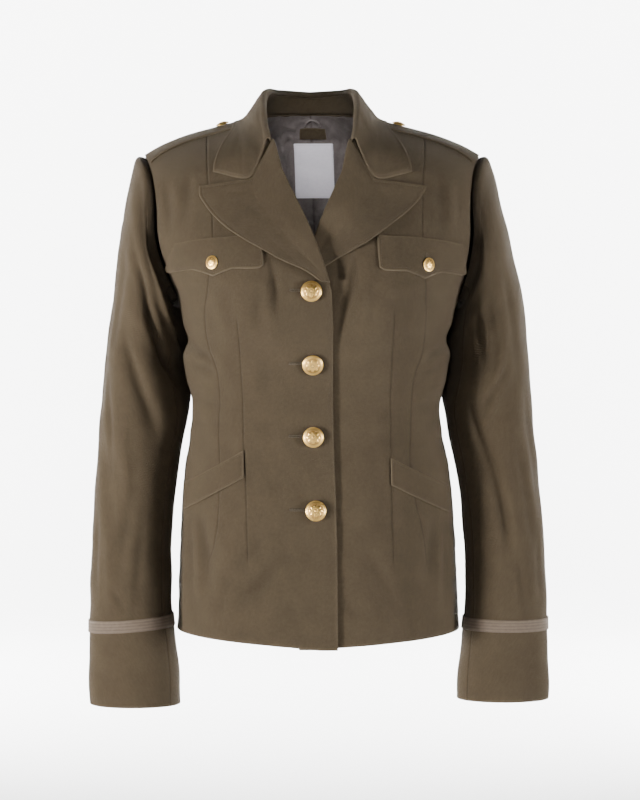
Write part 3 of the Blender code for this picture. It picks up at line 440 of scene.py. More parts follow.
def body_point(side, out, height, facing, lift=0.0):
    """Returns points on the body's cloth, moved out along its normal."""
    turn = -1.0 if facing == "front" else 1.0
    out, height, lift = np.broadcast_arrays(out, height, lift)
    normal = body_normal(side, out, height, facing)
    deep = turn * depth(side, out, height, facing)
    moved = [at + lift * normal[..., axis] for axis, at in enumerate((out, deep, height))]
    return placed(side, *moved)


def under_share(out, height):
    """Returns how much a place on the left front lies under the right one."""
    return ease((0.0560 - out) / 0.0380) * ease((-0.1000 - height) / 0.0420)


def under_front(out, height):
    """Returns how far the left front is set back where the right one covers it."""
    lapel_too = UNDERLAP * ease((height + 0.2500) / 0.0450)
    return under_share(out, height) * (CLOTH + UNDER_REST + lapel_too)

# %% Edges and seams of a grid

def grid_normals(points):
    """Returns the normals of a grid of points."""
    return unit(np.cross(np.gradient(points, axis=1), np.gradient(points, axis=0)))


def flatten(normals, place, axis):
    """Takes one direction out of the normals at a seam."""
    part = normals[place]
    part[..., axis] = 0.0
    normals[place] = unit(part)


def pull_in(points, rows=(0, 0), columns=(0, 0)):
    """Draws the edges of a grid back by small lengths."""
    points = points.copy()
    for length, edge, inner in ((rows[0], 0, 1), (rows[1], -1, -2)):
        way = points[inner] - points[edge]
        points[edge] += way * (length / np.linalg.norm(way, axis=-1, keepdims=True))
    for length, edge, inner in ((columns[0], 0, 1), (columns[1], -1, -2)):
        way = points[:, inner] - points[:, edge]
        points[:, edge] += way * (length / np.linalg.norm(way, axis=-1, keepdims=True))
    return points


def side_rows(low_rows, arm_steps):
    """Returns how far up each row lies at the side: 0 at the hem, 1 at the shoulder."""
    low = np.linspace(HEM_SIDE, UNDERARM, low_rows)
    middle = (SHOULDER_HEIGHT + UNDERARM) / 2
    half = (SHOULDER_HEIGHT - UNDERARM) / 2
    turns = np.linspace(math.pi, 0.0, arm_steps + 1)
    heights = np.concatenate((low[:-1], middle + half * np.cos(turns)))
    return (heights - heights[0]) / (heights[-1] - heights[0])


def column_out(share, height, facing):
    """Returns how far out a column of the body's grid lies at a height."""
    half = full_half(height)
    edge = np.arcsin(np.clip(edge_out(height) / half, 0.0, 1.0))
    past = 0.0 if facing == "back" else smooth(FRONT_EDGE, "past", height)
    start = -np.arcsin(past / half)
    return half * np.sin(start + (edge - start) * share)


def top_height(out, facing):
    """Returns the height of a panel's top edge."""
    ridge = smooth(RIDGE, "height", np.abs(out))
    if facing == "back":
        inside = BACK_NECK + (SIDE_NECK - BACK_NECK) * (np.abs(out) / NECK_OUT) ** 3
    else:
        inside = smooth(FRONT_TOP, "height", out)
    return np.where(np.abs(out) >= NECK_OUT, ridge, inside)


def body_grid(facing, low_rows, arm_steps, columns):
    """Returns the out and height of each point of a body panel's grid."""
    rows = side_rows(low_rows, arm_steps)
    share = np.linspace(0.0, 1.0, columns)
    if facing == "back":
        share = share**BACK_SPREAD
    else:
        share = np.interp(share, FRONT_SPREAD[0], FRONT_SPREAD[1])

    def below_top(height):
        return top_height(column_out(share, height, facing), facing) > height

    low = halve(np.full(columns, -0.30), np.full(columns, 0.02), 40, below_top)
    hem = HEM_FRONT + (HEM_SIDE - HEM_FRONT) * share**0.8
    height = hem + (low - hem) * rows[:, None]
    share = np.broadcast_to(share, height.shape)
    return column_out(share, height, facing), height

# %% [markdown]
# ## Creases
# Heavy wool doesn't wrinkle sharply. It makes soft troughs where it is pulled and low swellings
# beside them, no two alike. Each row below is one trough (or, with a negative depth, one
# swelling) from a point to a point, with its own width and depth. The hidden back has its own.

# %% Creases of the fronts, the backs and the sleeves
FRONT_CREASES = trough_rows(
    BODY_UNITS,
    (
        (480, -1560, 450, -2150, 42, 19), (350, -1700, 390, -2350, 50, -12),
        (560, -1750, 500, -2500, 60, -13), (600, -1850, 680, -2400, 50, 10),
        (1000, -1850, 920, -2500, 70, 9), (1430, -2500, 1120, -2730, 50, 24),
        (1400, -2720, 1080, -2880, 45, 16), (1420, -2900, 1150, -3080, 55, -12),
        (1380, -3150, 960, -3240, 50, 12), (1400, -3450, 1180, -3380, 60, 11),
        (1300, -4350, 1180, -5150, 70, 26), (1430, -4300, 1400, -5300, 60, 18),
        (1360, -4500, 1290, -5400, 50, -14), (950, -5000, 1080, -5480, 60, 16),
        (240, -4700, 900, -5350, 80, 20), (120, -4950, 700, -5550, 70, -13),
        (450, -4500, 1020, -5050, 60, 10), (0, -5250, 450, -5650, 60, 10),
        (520, -2550, 600, -3150, 80, 8), (50, -2450, 180, -2900, 70, 7),
        (30, -3300, 220, -3850, 80, 7), (980, -500, 1010, -1120, 60, 9),
        (1330, -550, 1380, -1250, 60, 14), (1480, -700, 1500, -1300, 50, -10),
        (1600, -750, 1580, -1280, 45, 12),
    ),
    (
        (215, -1660, 240, -1920, 35, 17), (430, -1640, 200, -2540, 45, 20),
        (330, -1700, 180, -2250, 45, -14), (540, -1780, 360, -2480, 55, -12),
        (620, -1850, 560, -2350, 50, 9), (1000, -1900, 930, -2420, 70, 9),
        (1440, -2520, 1150, -2750, 50, 24), (1410, -2760, 1100, -2900, 45, 15),
        (1420, -2950, 1140, -3100, 55, -12), (1390, -3180, 980, -3260, 50, 12),
        (1400, -3480, 1160, -3400, 60, 10), (1280, -4400, 1200, -5100, 70, 24),
        (1430, -4350, 1390, -5300, 60, 18), (1350, -4600, 1300, -5450, 50, -12),
        (550, -4750, 900, -5450, 80, 16), (400, -4950, 720, -5600, 70, -10),
        (300, -5150, 420, -5600, 60, 9), (500, -2850, 560, -3600, 80, 7),
        (980, -480, 960, -1120, 60, 9), (1370, -600, 1390, -1280, 60, 12),
        (1500, -700, 1480, -1300, 50, -9), (1600, -780, 1570, -1300, 45, 10),
    ),
)
BACK_CREASES = trough_rows(
    BODY_UNITS,
    (
        (0, -350, 550, -400, 60, 10), (1550, -900, 1150, -1900, 80, 22),
        (1600, -1300, 1320, -2000, 60, -15), (1400, -2550, 850, -2850, 60, 20),
        (1380, -2850, 500, -3080, 60, 18), (1320, -3200, 400, -3220, 55, 14),
        (1200, -3020, 600, -3180, 50, -12), (1380, -3550, 800, -3420, 70, 13),
        (1200, -4300, 1100, -5500, 90, 24), (500, -4500, 600, -5600, 90, 18),
        (250, -4600, 200, -5600, 80, -12),
    ),
    (
        (50, -330, 500, -420, 60, 9), (1540, -950, 1200, -1850, 80, 20),
        (1610, -1280, 1360, -2020, 60, -14), (1410, -2600, 900, -2880, 60, 18),
        (1370, -2900, 400, -3120, 65, 19), (1310, -3250, 550, -3260, 50, 12),
        (1180, -3080, 500, -3200, 50, -11), (1390, -3600, 700, -3450, 70, 13),
        (1240, -4350, 1160, -5500, 90, 22), (560, -4550, 720, -5600, 90, 17),
        (300, -4500, 280, -5600, 80, -11),
    ),
)
SLEEVE_CREASES = trough_rows(
    SLEEVE_UNITS,
    (
        (50, 12, 108, 62, 65, -9), (96, 26, 134, 130, 70, -28), (118, 80, 168, 190, 75, -26),
        (70, 88, 108, 165, 95, 40), (98, 145, 150, 248, 95, 44), (62, 200, 112, 318, 80, 26),
        (45, 90, 38, 230, 80, 14), (30, 250, 55, 360, 70, 18), (66, 310, 88, 400, 80, -18),
        (90, 360, 76, 480, 80, 16), (30, 400, 34, 500, 70, 14), (58, 430, 64, 512, 70, -12),
        (108, 420, 100, 510, 70, 12), (62, 485, 84, 512, 45, 14), (20, 160, 14, 300, 80, 12),
        (300, 60, 312, 190, 90, 20), (270, 110, 292, 240, 80, 20), (230, 200, 262, 290, 70, 26),
        (222, 280, 258, 330, 70, 20), (300, 300, 280, 430, 90, 16), (318, 400, 306, 510, 80, 14),
    ),
    (
        (74, 16, 96, 80, 60, -8), (72, 240, 102, 296, 70, 30), (96, 120, 86, 230, 70, 8),
        (120, 110, 108, 220, 70, 18), (60, 110, 52, 250, 80, 13), (72, 190, 92, 300, 70, -18),
        (118, 280, 104, 350, 60, 28), (102, 350, 84, 460, 60, 24), (88, 330, 70, 430, 70, -18),
        (60, 330, 44, 450, 80, 16), (34, 260, 26, 400, 80, 14), (34, 420, 38, 505, 70, 12),
        (72, 450, 66, 512, 60, 12), (296, 60, 308, 180, 90, 20), (268, 120, 296, 250, 80, 20),
        (228, 210, 264, 300, 70, 24), (220, 290, 260, 340, 70, 20), (302, 310, 284, 440, 90, 16),
        (320, 390, 304, 505, 80, 14),
    ),
)


def ripple(first, second, seed, size):
    """Adds a soft unevenness of a few long waves, the same each run."""
    chance = np.random.default_rng(seed + 50)
    total = np.zeros(np.broadcast(first, second).shape)
    for _ in range(8):
        turn = chance.uniform(0.0, math.pi)
        wave = chance.uniform(0.020, 0.060)
        start = chance.uniform(0.0, 2 * math.pi)
        along = first * math.cos(turn) + second * math.sin(turn)
        total = total + np.sin(2 * math.pi * along / wave + start)
    return size * total / math.sqrt(8)


print("creases:", len(FRONT_CREASES) + len(BACK_CREASES) + len(SLEEVE_CREASES))

# %% [markdown]
# ## Cloth with two sides
# A piece of cloth is a grid of points for its outer face and one for its inner face, closed
# along the edges. A free edge gets a round rim, because heavy cloth is turned under there. A
# sewn edge gets none, and dips a little instead. Each grid also writes a UV map in metres, so
# that a weave keeps its size, and three masks for the materials: how near a free edge is, how
# near a seam is, and how deep the point lies in a crease.

# %% Closing a grid into cloth
RIM_STEPS = ((0.16, 0.62), (0.5, 1.0), (0.84, 0.62))
WORDS = {RIGHT: "right", LEFT: "left"}
LOOP_NODE = "hanger_loop"
GRIDS = {}


def lengths(points, axis):
    """Returns the length run along a grid at each of its points."""
    steps = np.linalg.norm(np.diff(points, axis=axis), axis=-1)
    total = np.cumsum(steps, axis=axis)
    first = np.zeros_like(np.take(total, [0], axis=axis))
    return np.concatenate((first, total), axis=axis)


def border(rows, columns):
    """Returns the row and column of each border point in turn, with its neighbour inside."""
    ring = [(0, col, 1, col) for col in range(columns - 1)]
    ring += [(row, columns - 1, row, columns - 2) for row in range(rows - 1)]
    ring += [(rows - 1, col, rows - 2, col) for col in range(columns - 1, 0, -1)]
    ring += [(row, 0, row, 1) for row in range(rows - 1, 0, -1)]
    return np.array(ring)


def finished(name, mesh, slot, node):
    """Makes the piece of a mesh, with its material, its slot and the node it stands for."""
    piece = show(bpy.data.objects.new(name, mesh))
    mesh.materials.append(LOOKS[slot])
    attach(piece, "root")
    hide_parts(node)
    print(name, "faces:", len(mesh.polygons))
    return piece


def cloth(name, node, outer, inner, rims, masks=None, wrap=False, slot="wool"):
    """Closes two grids into cloth. Rims are those of the first and last row and column."""
    rows, columns = outer.shape[:2]
    count = rows * columns
    layers = [outer.reshape(-1, 3), inner.reshape(-1, 3)]
    place = np.arange(count).reshape(rows, columns)
    first = place if not wrap else np.concatenate((place, place[:, :1]), axis=1)
    quads = np.stack((first[:-1, :-1], first[:-1, 1:], first[1:, 1:], first[1:, :-1]), axis=-1)
    quads = quads.reshape(-1, 4)
    faces = [quads, quads[:, ::-1] + count]
    if wrap:
        ring = np.arange(columns)
        ends = ((0, 1), (rows - 1, rows - 2))
        loops = [np.stack(np.broadcast_arrays(last, ring, inside, ring), axis=-1) for last, inside in ends]
        rim_sets = [np.full(columns, rim) for rim in rims]
        turns = (1, -1)
    else:
        ring = border(rows, columns)
        row, col = ring[:, 0], ring[:, 1]
        on_edge = (row == 0, row == rows - 1, col == 0, col == columns - 1)
        loops = [ring]
        rim_sets = [np.max([edge * rim for edge, rim in zip(on_edge, rims)], axis=0)]
        turns = (1,)
    parents = [np.arange(count), np.arange(count)]
    base = 2 * count
    for loop, rim, turn in zip(loops, rim_sets, turns):
        edge = loop[:, 0] * columns + loop[:, 1]
        beside = loop[:, 2] * columns + loop[:, 3]
        top = layers[0][edge]
        low = layers[1][edge]
        out = top - layers[0][beside]
        if not wrap:
            corner = np.isin(loop[:, 0], (0, rows - 1)) & np.isin(loop[:, 1], (0, columns - 1))
            for spot in np.nonzero(corner)[0]:
                row, col = loop[spot, :2]
                inside = outer[min(max(row, 1), rows - 2), min(max(col, 1), columns - 2)]
                out[spot] = top[spot] - inside
        out = out / np.maximum(np.linalg.norm(out, axis=1, keepdims=True), 1e-9)
        rings = [edge]
        for share, reach in RIM_STEPS:
            layers.append(top * (1 - share) + low * share + out * (rim * reach)[:, None])
            parents.append(edge)
            rings.append(np.arange(base, base + len(edge)))
            base += len(edge)
        rings.append(edge + count)
        for upper, lower in zip(rings[:-1], rings[1:]):
            strip = np.stack((np.roll(upper, -1), upper, lower, np.roll(lower, -1)), axis=-1)
            faces.append(strip[:, ::turn])
    mesh = bpy.data.meshes.new(name)
    mesh.from_pydata(np.concatenate(layers).tolist(), [], np.concatenate(faces).tolist())
    dress_mesh(mesh, outer, np.concatenate(parents), masks or {})
    face_outward(mesh)
    mesh.shade_smooth()
    finished(name, mesh, slot, node)
    GRIDS[node] = outer


def dress_mesh(mesh, outer, parent, masks):
    """Writes the UV map in metres and the masks of a cloth mesh."""
    across = lengths(outer, 1).reshape(-1)
    along = lengths(outer, 0).reshape(-1)
    uv = np.stack((across, along), axis=-1)[parent]
    corner = np.zeros(len(mesh.loops), dtype=np.int32)
    mesh.loops.foreach_get("vertex_index", corner)
    layer = mesh.uv_layers.new(name="cloth")
    layer.data.foreach_set("uv", uv[corner].astype(np.float32).reshape(-1))
    for word in ("edge", "seam", "hollow"):
        values = np.zeros(outer.shape[:2]) if word not in masks else masks[word]
        spread = np.broadcast_to(values, outer.shape[:2]).reshape(-1)[parent]
        mask = mesh.attributes.new(word, "FLOAT", "POINT")
        mask.data.foreach_set("value", spread.astype(np.float32))


def face_outward(mesh):
    """Turns the faces of a closed mesh outwards, by the sign of its volume."""
    shape = bmesh.new()
    shape.from_mesh(mesh)
    if shape.calc_volume(signed=True) < 0:
        bmesh.ops.reverse_faces(shape, faces=shape.faces)
    shape.to_mesh(mesh)
    shape.free()


def edge_distance(points, free):
    """Returns how far each point of a grid is from its free edges, along the cloth."""
    down = lengths(points, 0)
    over = lengths(points, 1)
    total = np.full(points.shape[:2], 1.0)
    parts = (down, down[-1:] - down, over, over[:, -1:] - over)
    for part, is_free in zip(parts, free):
        if is_free:
            total = np.minimum(total, part)
    return total


def crowded(count):
    """Returns shares from 0 to 1 that crowd together at both ends."""
    even = np.linspace(0.0, 1.0, count)
    return 0.35 * even + 0.65 * (0.5 - 0.5 * np.cos(math.pi * even))


def finer(grid, times, axis):
    """Puts more points on a grid along smooth curves through the ones it has."""
    grid = np.moveaxis(grid, axis, 0)
    padded = np.concatenate((2 * grid[:1] - grid[1:2], grid, 2 * grid[-1:] - grid[-2:-1]))
    rows = []
    for place in range(len(grid) - 1):
        a, b, c, d = padded[place:place + 4]
        for step in range(times):
            t = step / times
            curve = 2 * b + (c - a) * t + (2 * a - 5 * b + 4 * c - d) * t**2 + (3 * b - a - 3 * c + d) * t**3
            rows.append(curve / 2)
    rows.append(grid[-1])
    return np.moveaxis(np.stack(rows), 0, axis)

# %% [markdown]
# ## Materials
# The cloth is a dense olive-drab wool twill: at arm's length its weave is only a fine grain,
# with a matt nap that catches light at the edges. Three things are shared by all the cloths and
# are made as node groups: the diagonal weave, a cloudy mottling of the dye, and the tints from
# the masks: free edges painted lighter, as wear and as a painted highlight, darker seams, and
# painted shade in the creases.

# %% Node groups
def feed(tree, node, given):
    """Gives a node's inputs the sockets that they read, or their values."""
    for place, value in given.items():
        if isinstance(value, bpy.types.NodeSocket):
            tree.links.new(value, node.inputs[place])
        else:
            node.inputs[place].default_value = value
    return node


def add(tree, kind, given):
    """Adds a node and feeds it."""
    return feed(tree, tree.nodes.new(kind), given)


def maths(tree, operation, *values):
    """Adds a maths node whose inputs are sockets or numbers."""
    node = tree.nodes.new("ShaderNodeMath")
    node.operation = operation
    return feed(tree, node, dict(enumerate(values))).outputs[0]


def blend_colour(tree, kind, share, first, second):
    """Adds a colour mix whose inputs are sockets, numbers or colours."""
    node = tree.nodes.new("ShaderNodeMix")
    node.data_type = "RGBA"
    node.blend_type = kind
    return feed(tree, node, {0: share, 6: first, 7: second}).outputs[2]


def new_group(name, inputs, outputs):
    """Makes an empty shader node group. A socket called Color holds a colour."""
    group = bpy.data.node_groups.new(name, "ShaderNodeTree")
    for word, value in inputs.items():
        kind = "NodeSocketColor" if word == "Color" else "NodeSocketFloat"
        socket = group.interface.new_socket(word, in_out="INPUT", socket_type=kind)
        if value is not None:
            socket.default_value = value
    for word in outputs:
        kind = "NodeSocketColor" if word == "Color" else "NodeSocketFloat"
        group.interface.new_socket(word, in_out="OUTPUT", socket_type=kind)
    return group, group.nodes.new("NodeGroupInput").outputs, group.nodes.new("NodeGroupOutput")


def weave_group():
    """Makes the group that turns the UV map into the ribs of a twill."""
    sizes = {"Ribs per metre": 900.0, "Slant": 0.55}
    group, given, made = new_group("diagonal_weave", sizes, ("Height", "Shade"))
    place = group.nodes.new("ShaderNodeUVMap")
    place.uv_map = "cloth"
    uv = place.outputs["UV"]
    split = add(group, "ShaderNodeSeparateXYZ", {0: uv}).outputs
    noise = group.nodes.new("ShaderNodeTexNoise")
    noise.noise_dimensions = "2D"
    noise = feed(group, noise, {"Scale": 260.0, "Detail": 3.0, "Vector": uv}).outputs["Fac"]
    ribs = given["Ribs per metre"]
    slanted = maths(group, "MULTIPLY_ADD", split["Y"], given["Slant"], split["X"])
    uneven = maths(group, "MULTIPLY_ADD", noise, 1.6, maths(group, "MULTIPLY", slanted, ribs))
    wave = maths(group, "SINE", maths(group, "MULTIPLY", uneven, 2 * math.pi))
    along = maths(group, "MULTIPLY", split["Y"], ribs)
    thread = maths(group, "SINE", maths(group, "MULTIPLY", along, 4 * math.pi))
    both = maths(group, "MULTIPLY_ADD", thread, 0.3, wave)
    height = maths(group, "MULTIPLY_ADD", both, 0.35, 0.5)
    shade = maths(group, "MULTIPLY_ADD", noise, 0.5, maths(group, "MULTIPLY", height, 0.5))
    feed(group, made, {"Height": height, "Shade": shade})
    return group


def mottle_group():
    """Makes the group that gives the cloudy unevenness of dyed wool."""
    sizes = {"Scale": 40.0, "Fuzz scale": 900.0}
    group, given, made = new_group("cloudy_dye", sizes, ("Cloud", "Fuzz"))
    place = group.nodes.new("ShaderNodeTexCoord").outputs["Object"]
    for scale, detail, output in (("Scale", 4.0, "Cloud"), ("Fuzz scale", 5.0, "Fuzz")):
        read = {"Detail": detail, "Roughness": 0.62, "Vector": place, "Scale": given[scale]}
        noise = add(group, "ShaderNodeTexNoise", read)
        feed(group, made, {output: noise.outputs["Fac"]})
    return group


def wear_and_painted_light_group():
    """Makes the group that tints a colour by its masks: free edges lighter, partly as wear and partly as a
    painted highlight, seams darker, and painted shade in creases and hollows.
    """
    sizes = {"Color": None, "Edge": 0.3, "Seam": 0.4, "Hollow": 0.3}
    group, given, made = new_group("edge_seam_hollow", sizes, ("Color",))
    colour = given["Color"]
    # The edge tint is added as wear and as a painted highlight on free edges. The hollow tint is painted
    # shade in creases and folds.
    for word, kind, tint in (
        ("edge", "ADD", (0.030, 0.025, 0.018, 1.0)),
        ("seam", "MULTIPLY", (0.25, 0.24, 0.23, 1.0)),
        ("hollow", "MULTIPLY", (0.45, 0.44, 0.43, 1.0)),
    ):
        mask = group.nodes.new("ShaderNodeAttribute")
        mask.attribute_name = word
        share = maths(group, "MULTIPLY", mask.outputs["Fac"], given[word.capitalize()])
        colour = blend_colour(group, kind, share, colour, tint)
    feed(group, made, {"Color": colour})
    return group


WEAVE = weave_group()
MOTTLE = mottle_group()
WEAR_AND_PAINTED_LIGHT = wear_and_painted_light_group()
print("node groups:", [group.name for group in (WEAVE, MOTTLE, WEAR_AND_PAINTED_LIGHT)])

# %% The cloths
# The last column sets three tints: a lighter free edge (wear and a painted highlight), darker seams, and
# painted shade in creases.
CLOTHS = (
    ("name", "dark", "light", "rough", "sheen", "ribs", "slant", "bump", "fuzz_bump", "wear"),
    ("wool", (0.0395, 0.0286, 0.0165), (0.0770, 0.0570, 0.0345), 0.86, 0.10, 1300.0, 0.7,
     0.00024, 0.00042, (0.60, 0.45, 0.50)),
    ("lining", (0.095, 0.080, 0.078), (0.195, 0.170, 0.166), 0.30, 0.10, 2200.0, 0.0,
     0.00004, 0.00008, (0.10, 0.60, 0.40)),
    ("braid", (0.094, 0.070, 0.052), (0.160, 0.124, 0.096), 0.66, 0.20, 520.0, 1.0,
     0.00020, 0.00020, (0.10, 0.35, 0.30)),
    ("label", (0.760, 0.720, 0.800), (0.900, 0.870, 0.930), 0.62, 0.15, 1500.0, 0.0,
     0.00008, 0.00006, (0.0, 0.30, 0.20)),
    ("thread", (0.062, 0.048, 0.032), (0.105, 0.083, 0.056), 0.75, 0.20, 3.0, 0.0,
     0.00004, 0.00006, (0.0, 0.0, 0.0)),
    ("buttonhole_silk", (0.050, 0.039, 0.027), (0.086, 0.069, 0.049), 0.60, 0.20, 3.0, 1.0,
     0.00004, 0.00006, (0.0, 0.0, 0.0)),
)
SHEEN_TINT = (1.0, 0.86, 0.68, 1.0)


def grouped(tree, group, given):
    """Adds a node group to a material and feeds it."""
    node = tree.nodes.new("ShaderNodeGroup")
    node.node_tree = group
    return feed(tree, node, given).outputs


def cloth_look(read):
    """Makes the material of one cloth from its row."""
    look = bpy.data.materials.new(read["name"])
    look.use_nodes = True
    tree = look.node_tree
    weave = grouped(tree, WEAVE, {"Ribs per metre": read["ribs"], "Slant": read["slant"]})
    mottle = grouped(tree, MOTTLE, {})
    grain = maths(tree, "MULTIPLY", weave["Shade"], 0.40)
    grain = maths(tree, "MULTIPLY_ADD", mottle["Fuzz"], 0.40, grain)
    share = maths(tree, "MULTIPLY_ADD", mottle["Cloud"], 0.20, grain)
    spread = add(tree, "ShaderNodeMapRange", {"From Min": 0.30, "From Max": 0.70, "Value": share})
    ends = [(*read[word], 1.0) for word in ("dark", "light")]
    colour = blend_colour(tree, "MIX", spread.outputs["Result"], *ends)
    wear = dict(zip(("Edge", "Seam", "Hollow"), read["wear"]))
    worn_with_painted_light = grouped(tree, WEAR_AND_PAINTED_LIGHT, {"Color": colour, **wear})["Color"]
    bump = add(tree, "ShaderNodeBump", {"Distance": read["bump"], "Height": weave["Height"]})
    nap = {"Distance": read["fuzz_bump"], "Height": mottle["Fuzz"], "Normal": bump.outputs["Normal"]}
    fuzz = add(tree, "ShaderNodeBump", nap)
    feed(tree, tree.nodes["Principled BSDF"], {
        "Base Color": worn_with_painted_light,
        "Roughness": maths(tree, "MULTIPLY_ADD", mottle["Fuzz"], 0.10, read["rough"] - 0.05),
        "Normal": fuzz.outputs["Normal"],
        "Sheen Weight": read["sheen"],
        "Sheen Roughness": 0.45,
        "Sheen Tint": SHEEN_TINT,
        "Specular IOR Level": 0.18,
    })
    return look


LOOKS = {row[0]: cloth_look(dict(zip(CLOTHS[0], row))) for row in CLOTHS[1:]}
print("cloths:", sorted(LOOKS))

# %% [markdown]
# ## Brass
# The buttons are stamped brass with a warm gilt. Hollows of the relief are darker, because dirt
# and old lacquer stay there, and raised places are polished by wear. The relief writes a mask
# for that, so the material only has to read it.

# %% Brass
def brass_look():
    """Makes polished brass that is dull in its hollows."""
    look = bpy.data.materials.new("brass")
    look.use_nodes = True
    tree = look.node_tree
    mottle = grouped(tree, MOTTLE, {"Scale": 380.0, "Fuzz scale": 2600.0})
    mask = tree.nodes.new("ShaderNodeAttribute")
    mask.attribute_name = "hollow"
    hollow = mask.outputs["Fac"]
    gilt = ((0.92, 0.55, 0.14, 1.0), (1.00, 0.70, 0.25, 1.0))
    cloudy = blend_colour(tree, "MIX", mottle["Cloud"], *gilt)
    rough = maths(tree, "MULTIPLY_ADD", mottle["Fuzz"], 0.16, 0.26)
    feed(tree, tree.nodes["Principled BSDF"], {
        "Metallic": 1.0,
        "Base Color": blend_colour(tree, "MIX", hollow, cloudy, (0.36, 0.21, 0.07, 1.0)),
        "Roughness": maths(tree, "MULTIPLY_ADD", hollow, 0.25, rough),
    })
    return look


LOOKS["brass"] = brass_look()
print("looks:", sorted(LOOKS))

# %% [markdown]
# ## Seams and darts
# A fitted jacket gets its waist from darts and from seams that run down from the shoulder. On a
# grid of cloth a thin groove shows only where points lie close together, so the columns of the
# grid follow the seams: some lie on each seam and a few crowd beside it, at every height.

# %% The lines of the seams
PANEL_SEAMS = tenths(
    ("height", "inner_right", "outer_right", "inner_left", "outer_left", "back"),
    (-6000, 760, 1240, 820, 1200, 880),
    (-4940, 760, 1220, 820, 1190, 830),
    (-4730, 762, 1132, 817, 1170, 800),
    (-4500, 764, 1086, 812, 1125, 770),
    (-4200, 768, 1064, 808, 1062, 730),
    (-3790, 783, 1058, 804, 1012, 680),
    (-3390, 790, 1060, 808, 1028, 650),
    (-3090, 795, 1054, 806, 1038, 650),
    (-2840, 815, 1080, 808, 1075, 670),
    (-2590, 832, 1175, 815, 1145, 700),
    (-2340, 857, 1214, 820, 1166, 740),
    (-2200, 875, 1225, 823, 1167, 770),
    (-1880, 880, 1180, 830, 1167, 840),
    (-1350, 860, 1090, 820, 1165, 950),
    (-1130, 840, 1094, 810, 1176, 1000),
    (-770, 800, 1133, 790, 1195, 1080),
    (-290, 780, 1147, 780, 1243, 1160),
    (400, 770, 1180, 770, 1270, 1200),
)
DART_TOP = {RIGHT: -0.2190, LEFT: -0.2100}
DART_LOW = -0.4930
SEAM_DIP = 0.00048
SEAM_HALF = 0.00090
SEAM_MASK = 0.0006
EDGE_MASK = 0.0022
BESIDE_SEAM = (-0.0026, -0.0014, -0.0008, -0.0004, 0.0, 0.0004, 0.0008, 0.0014, 0.0026)


def seam_lines(side, facing, height):
    """Returns how far out each line of a panel lies, from its first edge to its last."""
    last = edge_out(height)
    if facing == "back":
        return np.stack((np.zeros_like(height), smooth(PANEL_SEAMS, "back", height), last), axis=-1)
    first = -smooth(FRONT_EDGE, "past", height)
    inner = smooth(PANEL_SEAMS, "inner_" + WORDS[side], height)
    outer = smooth(PANEL_SEAMS, "outer_" + WORDS[side], height)
    return np.stack((first, inner, outer, last), axis=-1)


def seam_columns(counts):
    """Returns line, share, and the lengths past this line and the next for each column."""
    places = []
    room = BESIDE_SEAM[-1]
    for line, count in enumerate(counts):
        if line == 0:
            places += [(0, 0.0, beside, 0.0) for beside in BESIDE_SEAM if beside >= 0]
        for share in np.linspace(0.0, 1.0, count + 1)[1:-1]:
            places.append((line, share, room, -room))
        for beside in BESIDE_SEAM:
            if beside <= 0 or line < len(counts) - 1:
                places.append((line, 1.0, 0.0, beside))
    return places


def panel_grid(side, facing, counts, low_rows, arm_steps):
    """Returns out and height of a fine grid whose columns follow the seams."""
    line, share, past, short = np.array(seam_columns(counts)).T
    line = line.astype(int)

    def out_at(height):
        half = full_half(height)
        lines = seam_lines(side, facing, height)
        order = np.arange(len(line))
        start = lines[..., order, line] + past
        end = lines[..., order, line + 1] + short
        start = np.arcsin(np.clip(start / half, -1.0, 1.0))
        end = np.arcsin(np.clip(end / half, -1.0, 1.0))
        return half * np.sin(start + (end - start) * share)

    def below_top(height):
        return top_height(out_at(height), facing) > height

    low = halve(np.full(len(line), -0.30), np.full(len(line), 0.02), 40, below_top)
    rows = side_rows(low_rows, arm_steps)
    rows = np.sort(np.concatenate((rows, (0.0014, 0.0034, 0.9966, 0.9986))))[:, None]
    spread = np.clip(out_at(np.full(len(line), HEM_SIDE)) / edge_out(np.array(HEM_SIDE)), 0.0, 1.0)
    hem = HEM_FRONT + (HEM_SIDE - HEM_FRONT) * spread**0.8
    height = hem + (low - hem) * rows
    return out_at(height), height


def groove(distance):
    """Returns the dip of a pressed seam."""
    return -SEAM_DIP * near(distance, SEAM_HALF)


print("seam table rows:", len(PANEL_SEAMS) - 1)

# %% Panels
FRONT_COUNTS = (40, 12, 24)
BACK_COUNTS = (26, 26)
FINE_LOW = 120
CREASE_DEPTH = 1.25
FINE_ARM = 56


def covered(side, out, height, facing):
    """Returns where another piece lies on a panel, so that no swelling reaches it."""
    ridge = smooth(RIDGE, "height", np.abs(out))
    mask = ease((height - ridge + 0.055) / 0.015)
    if facing == "front":
        lapel = smooth(LAPEL_EDGE, WORDS[side], height) + 0.004
        mask = np.maximum(mask, ease((lapel - out) / 0.006) * ease((height + 0.192) / 0.006))
        row = row_of(FLAPS, side)
        flap = ease((out - row["in"] + 0.008) / 0.006) * ease((height - row["bottom"] + 0.016) / 0.004)
        mask = np.maximum(mask, flap * ease((FLAP_TOP + 0.004 - height) / 0.003))
        row = row_of(WELTS, side)
        slope = (row["top_out"] - row["top_in"]) / (row["out"] - row["in"])
        top = row["top_in"] + slope * (out - row["in"])
        welt = ease((top + 0.004 - height) / 0.003) * ease((height - top + row["tall"] + 0.004) / 0.003)
        mask = np.maximum(mask, welt * ease((out - row["in"] + 0.006) / 0.004))
        mask = np.maximum(mask, ease((0.034 - np.abs(out)) / 0.006) * near(height + 0.315, 0.16))
    return mask


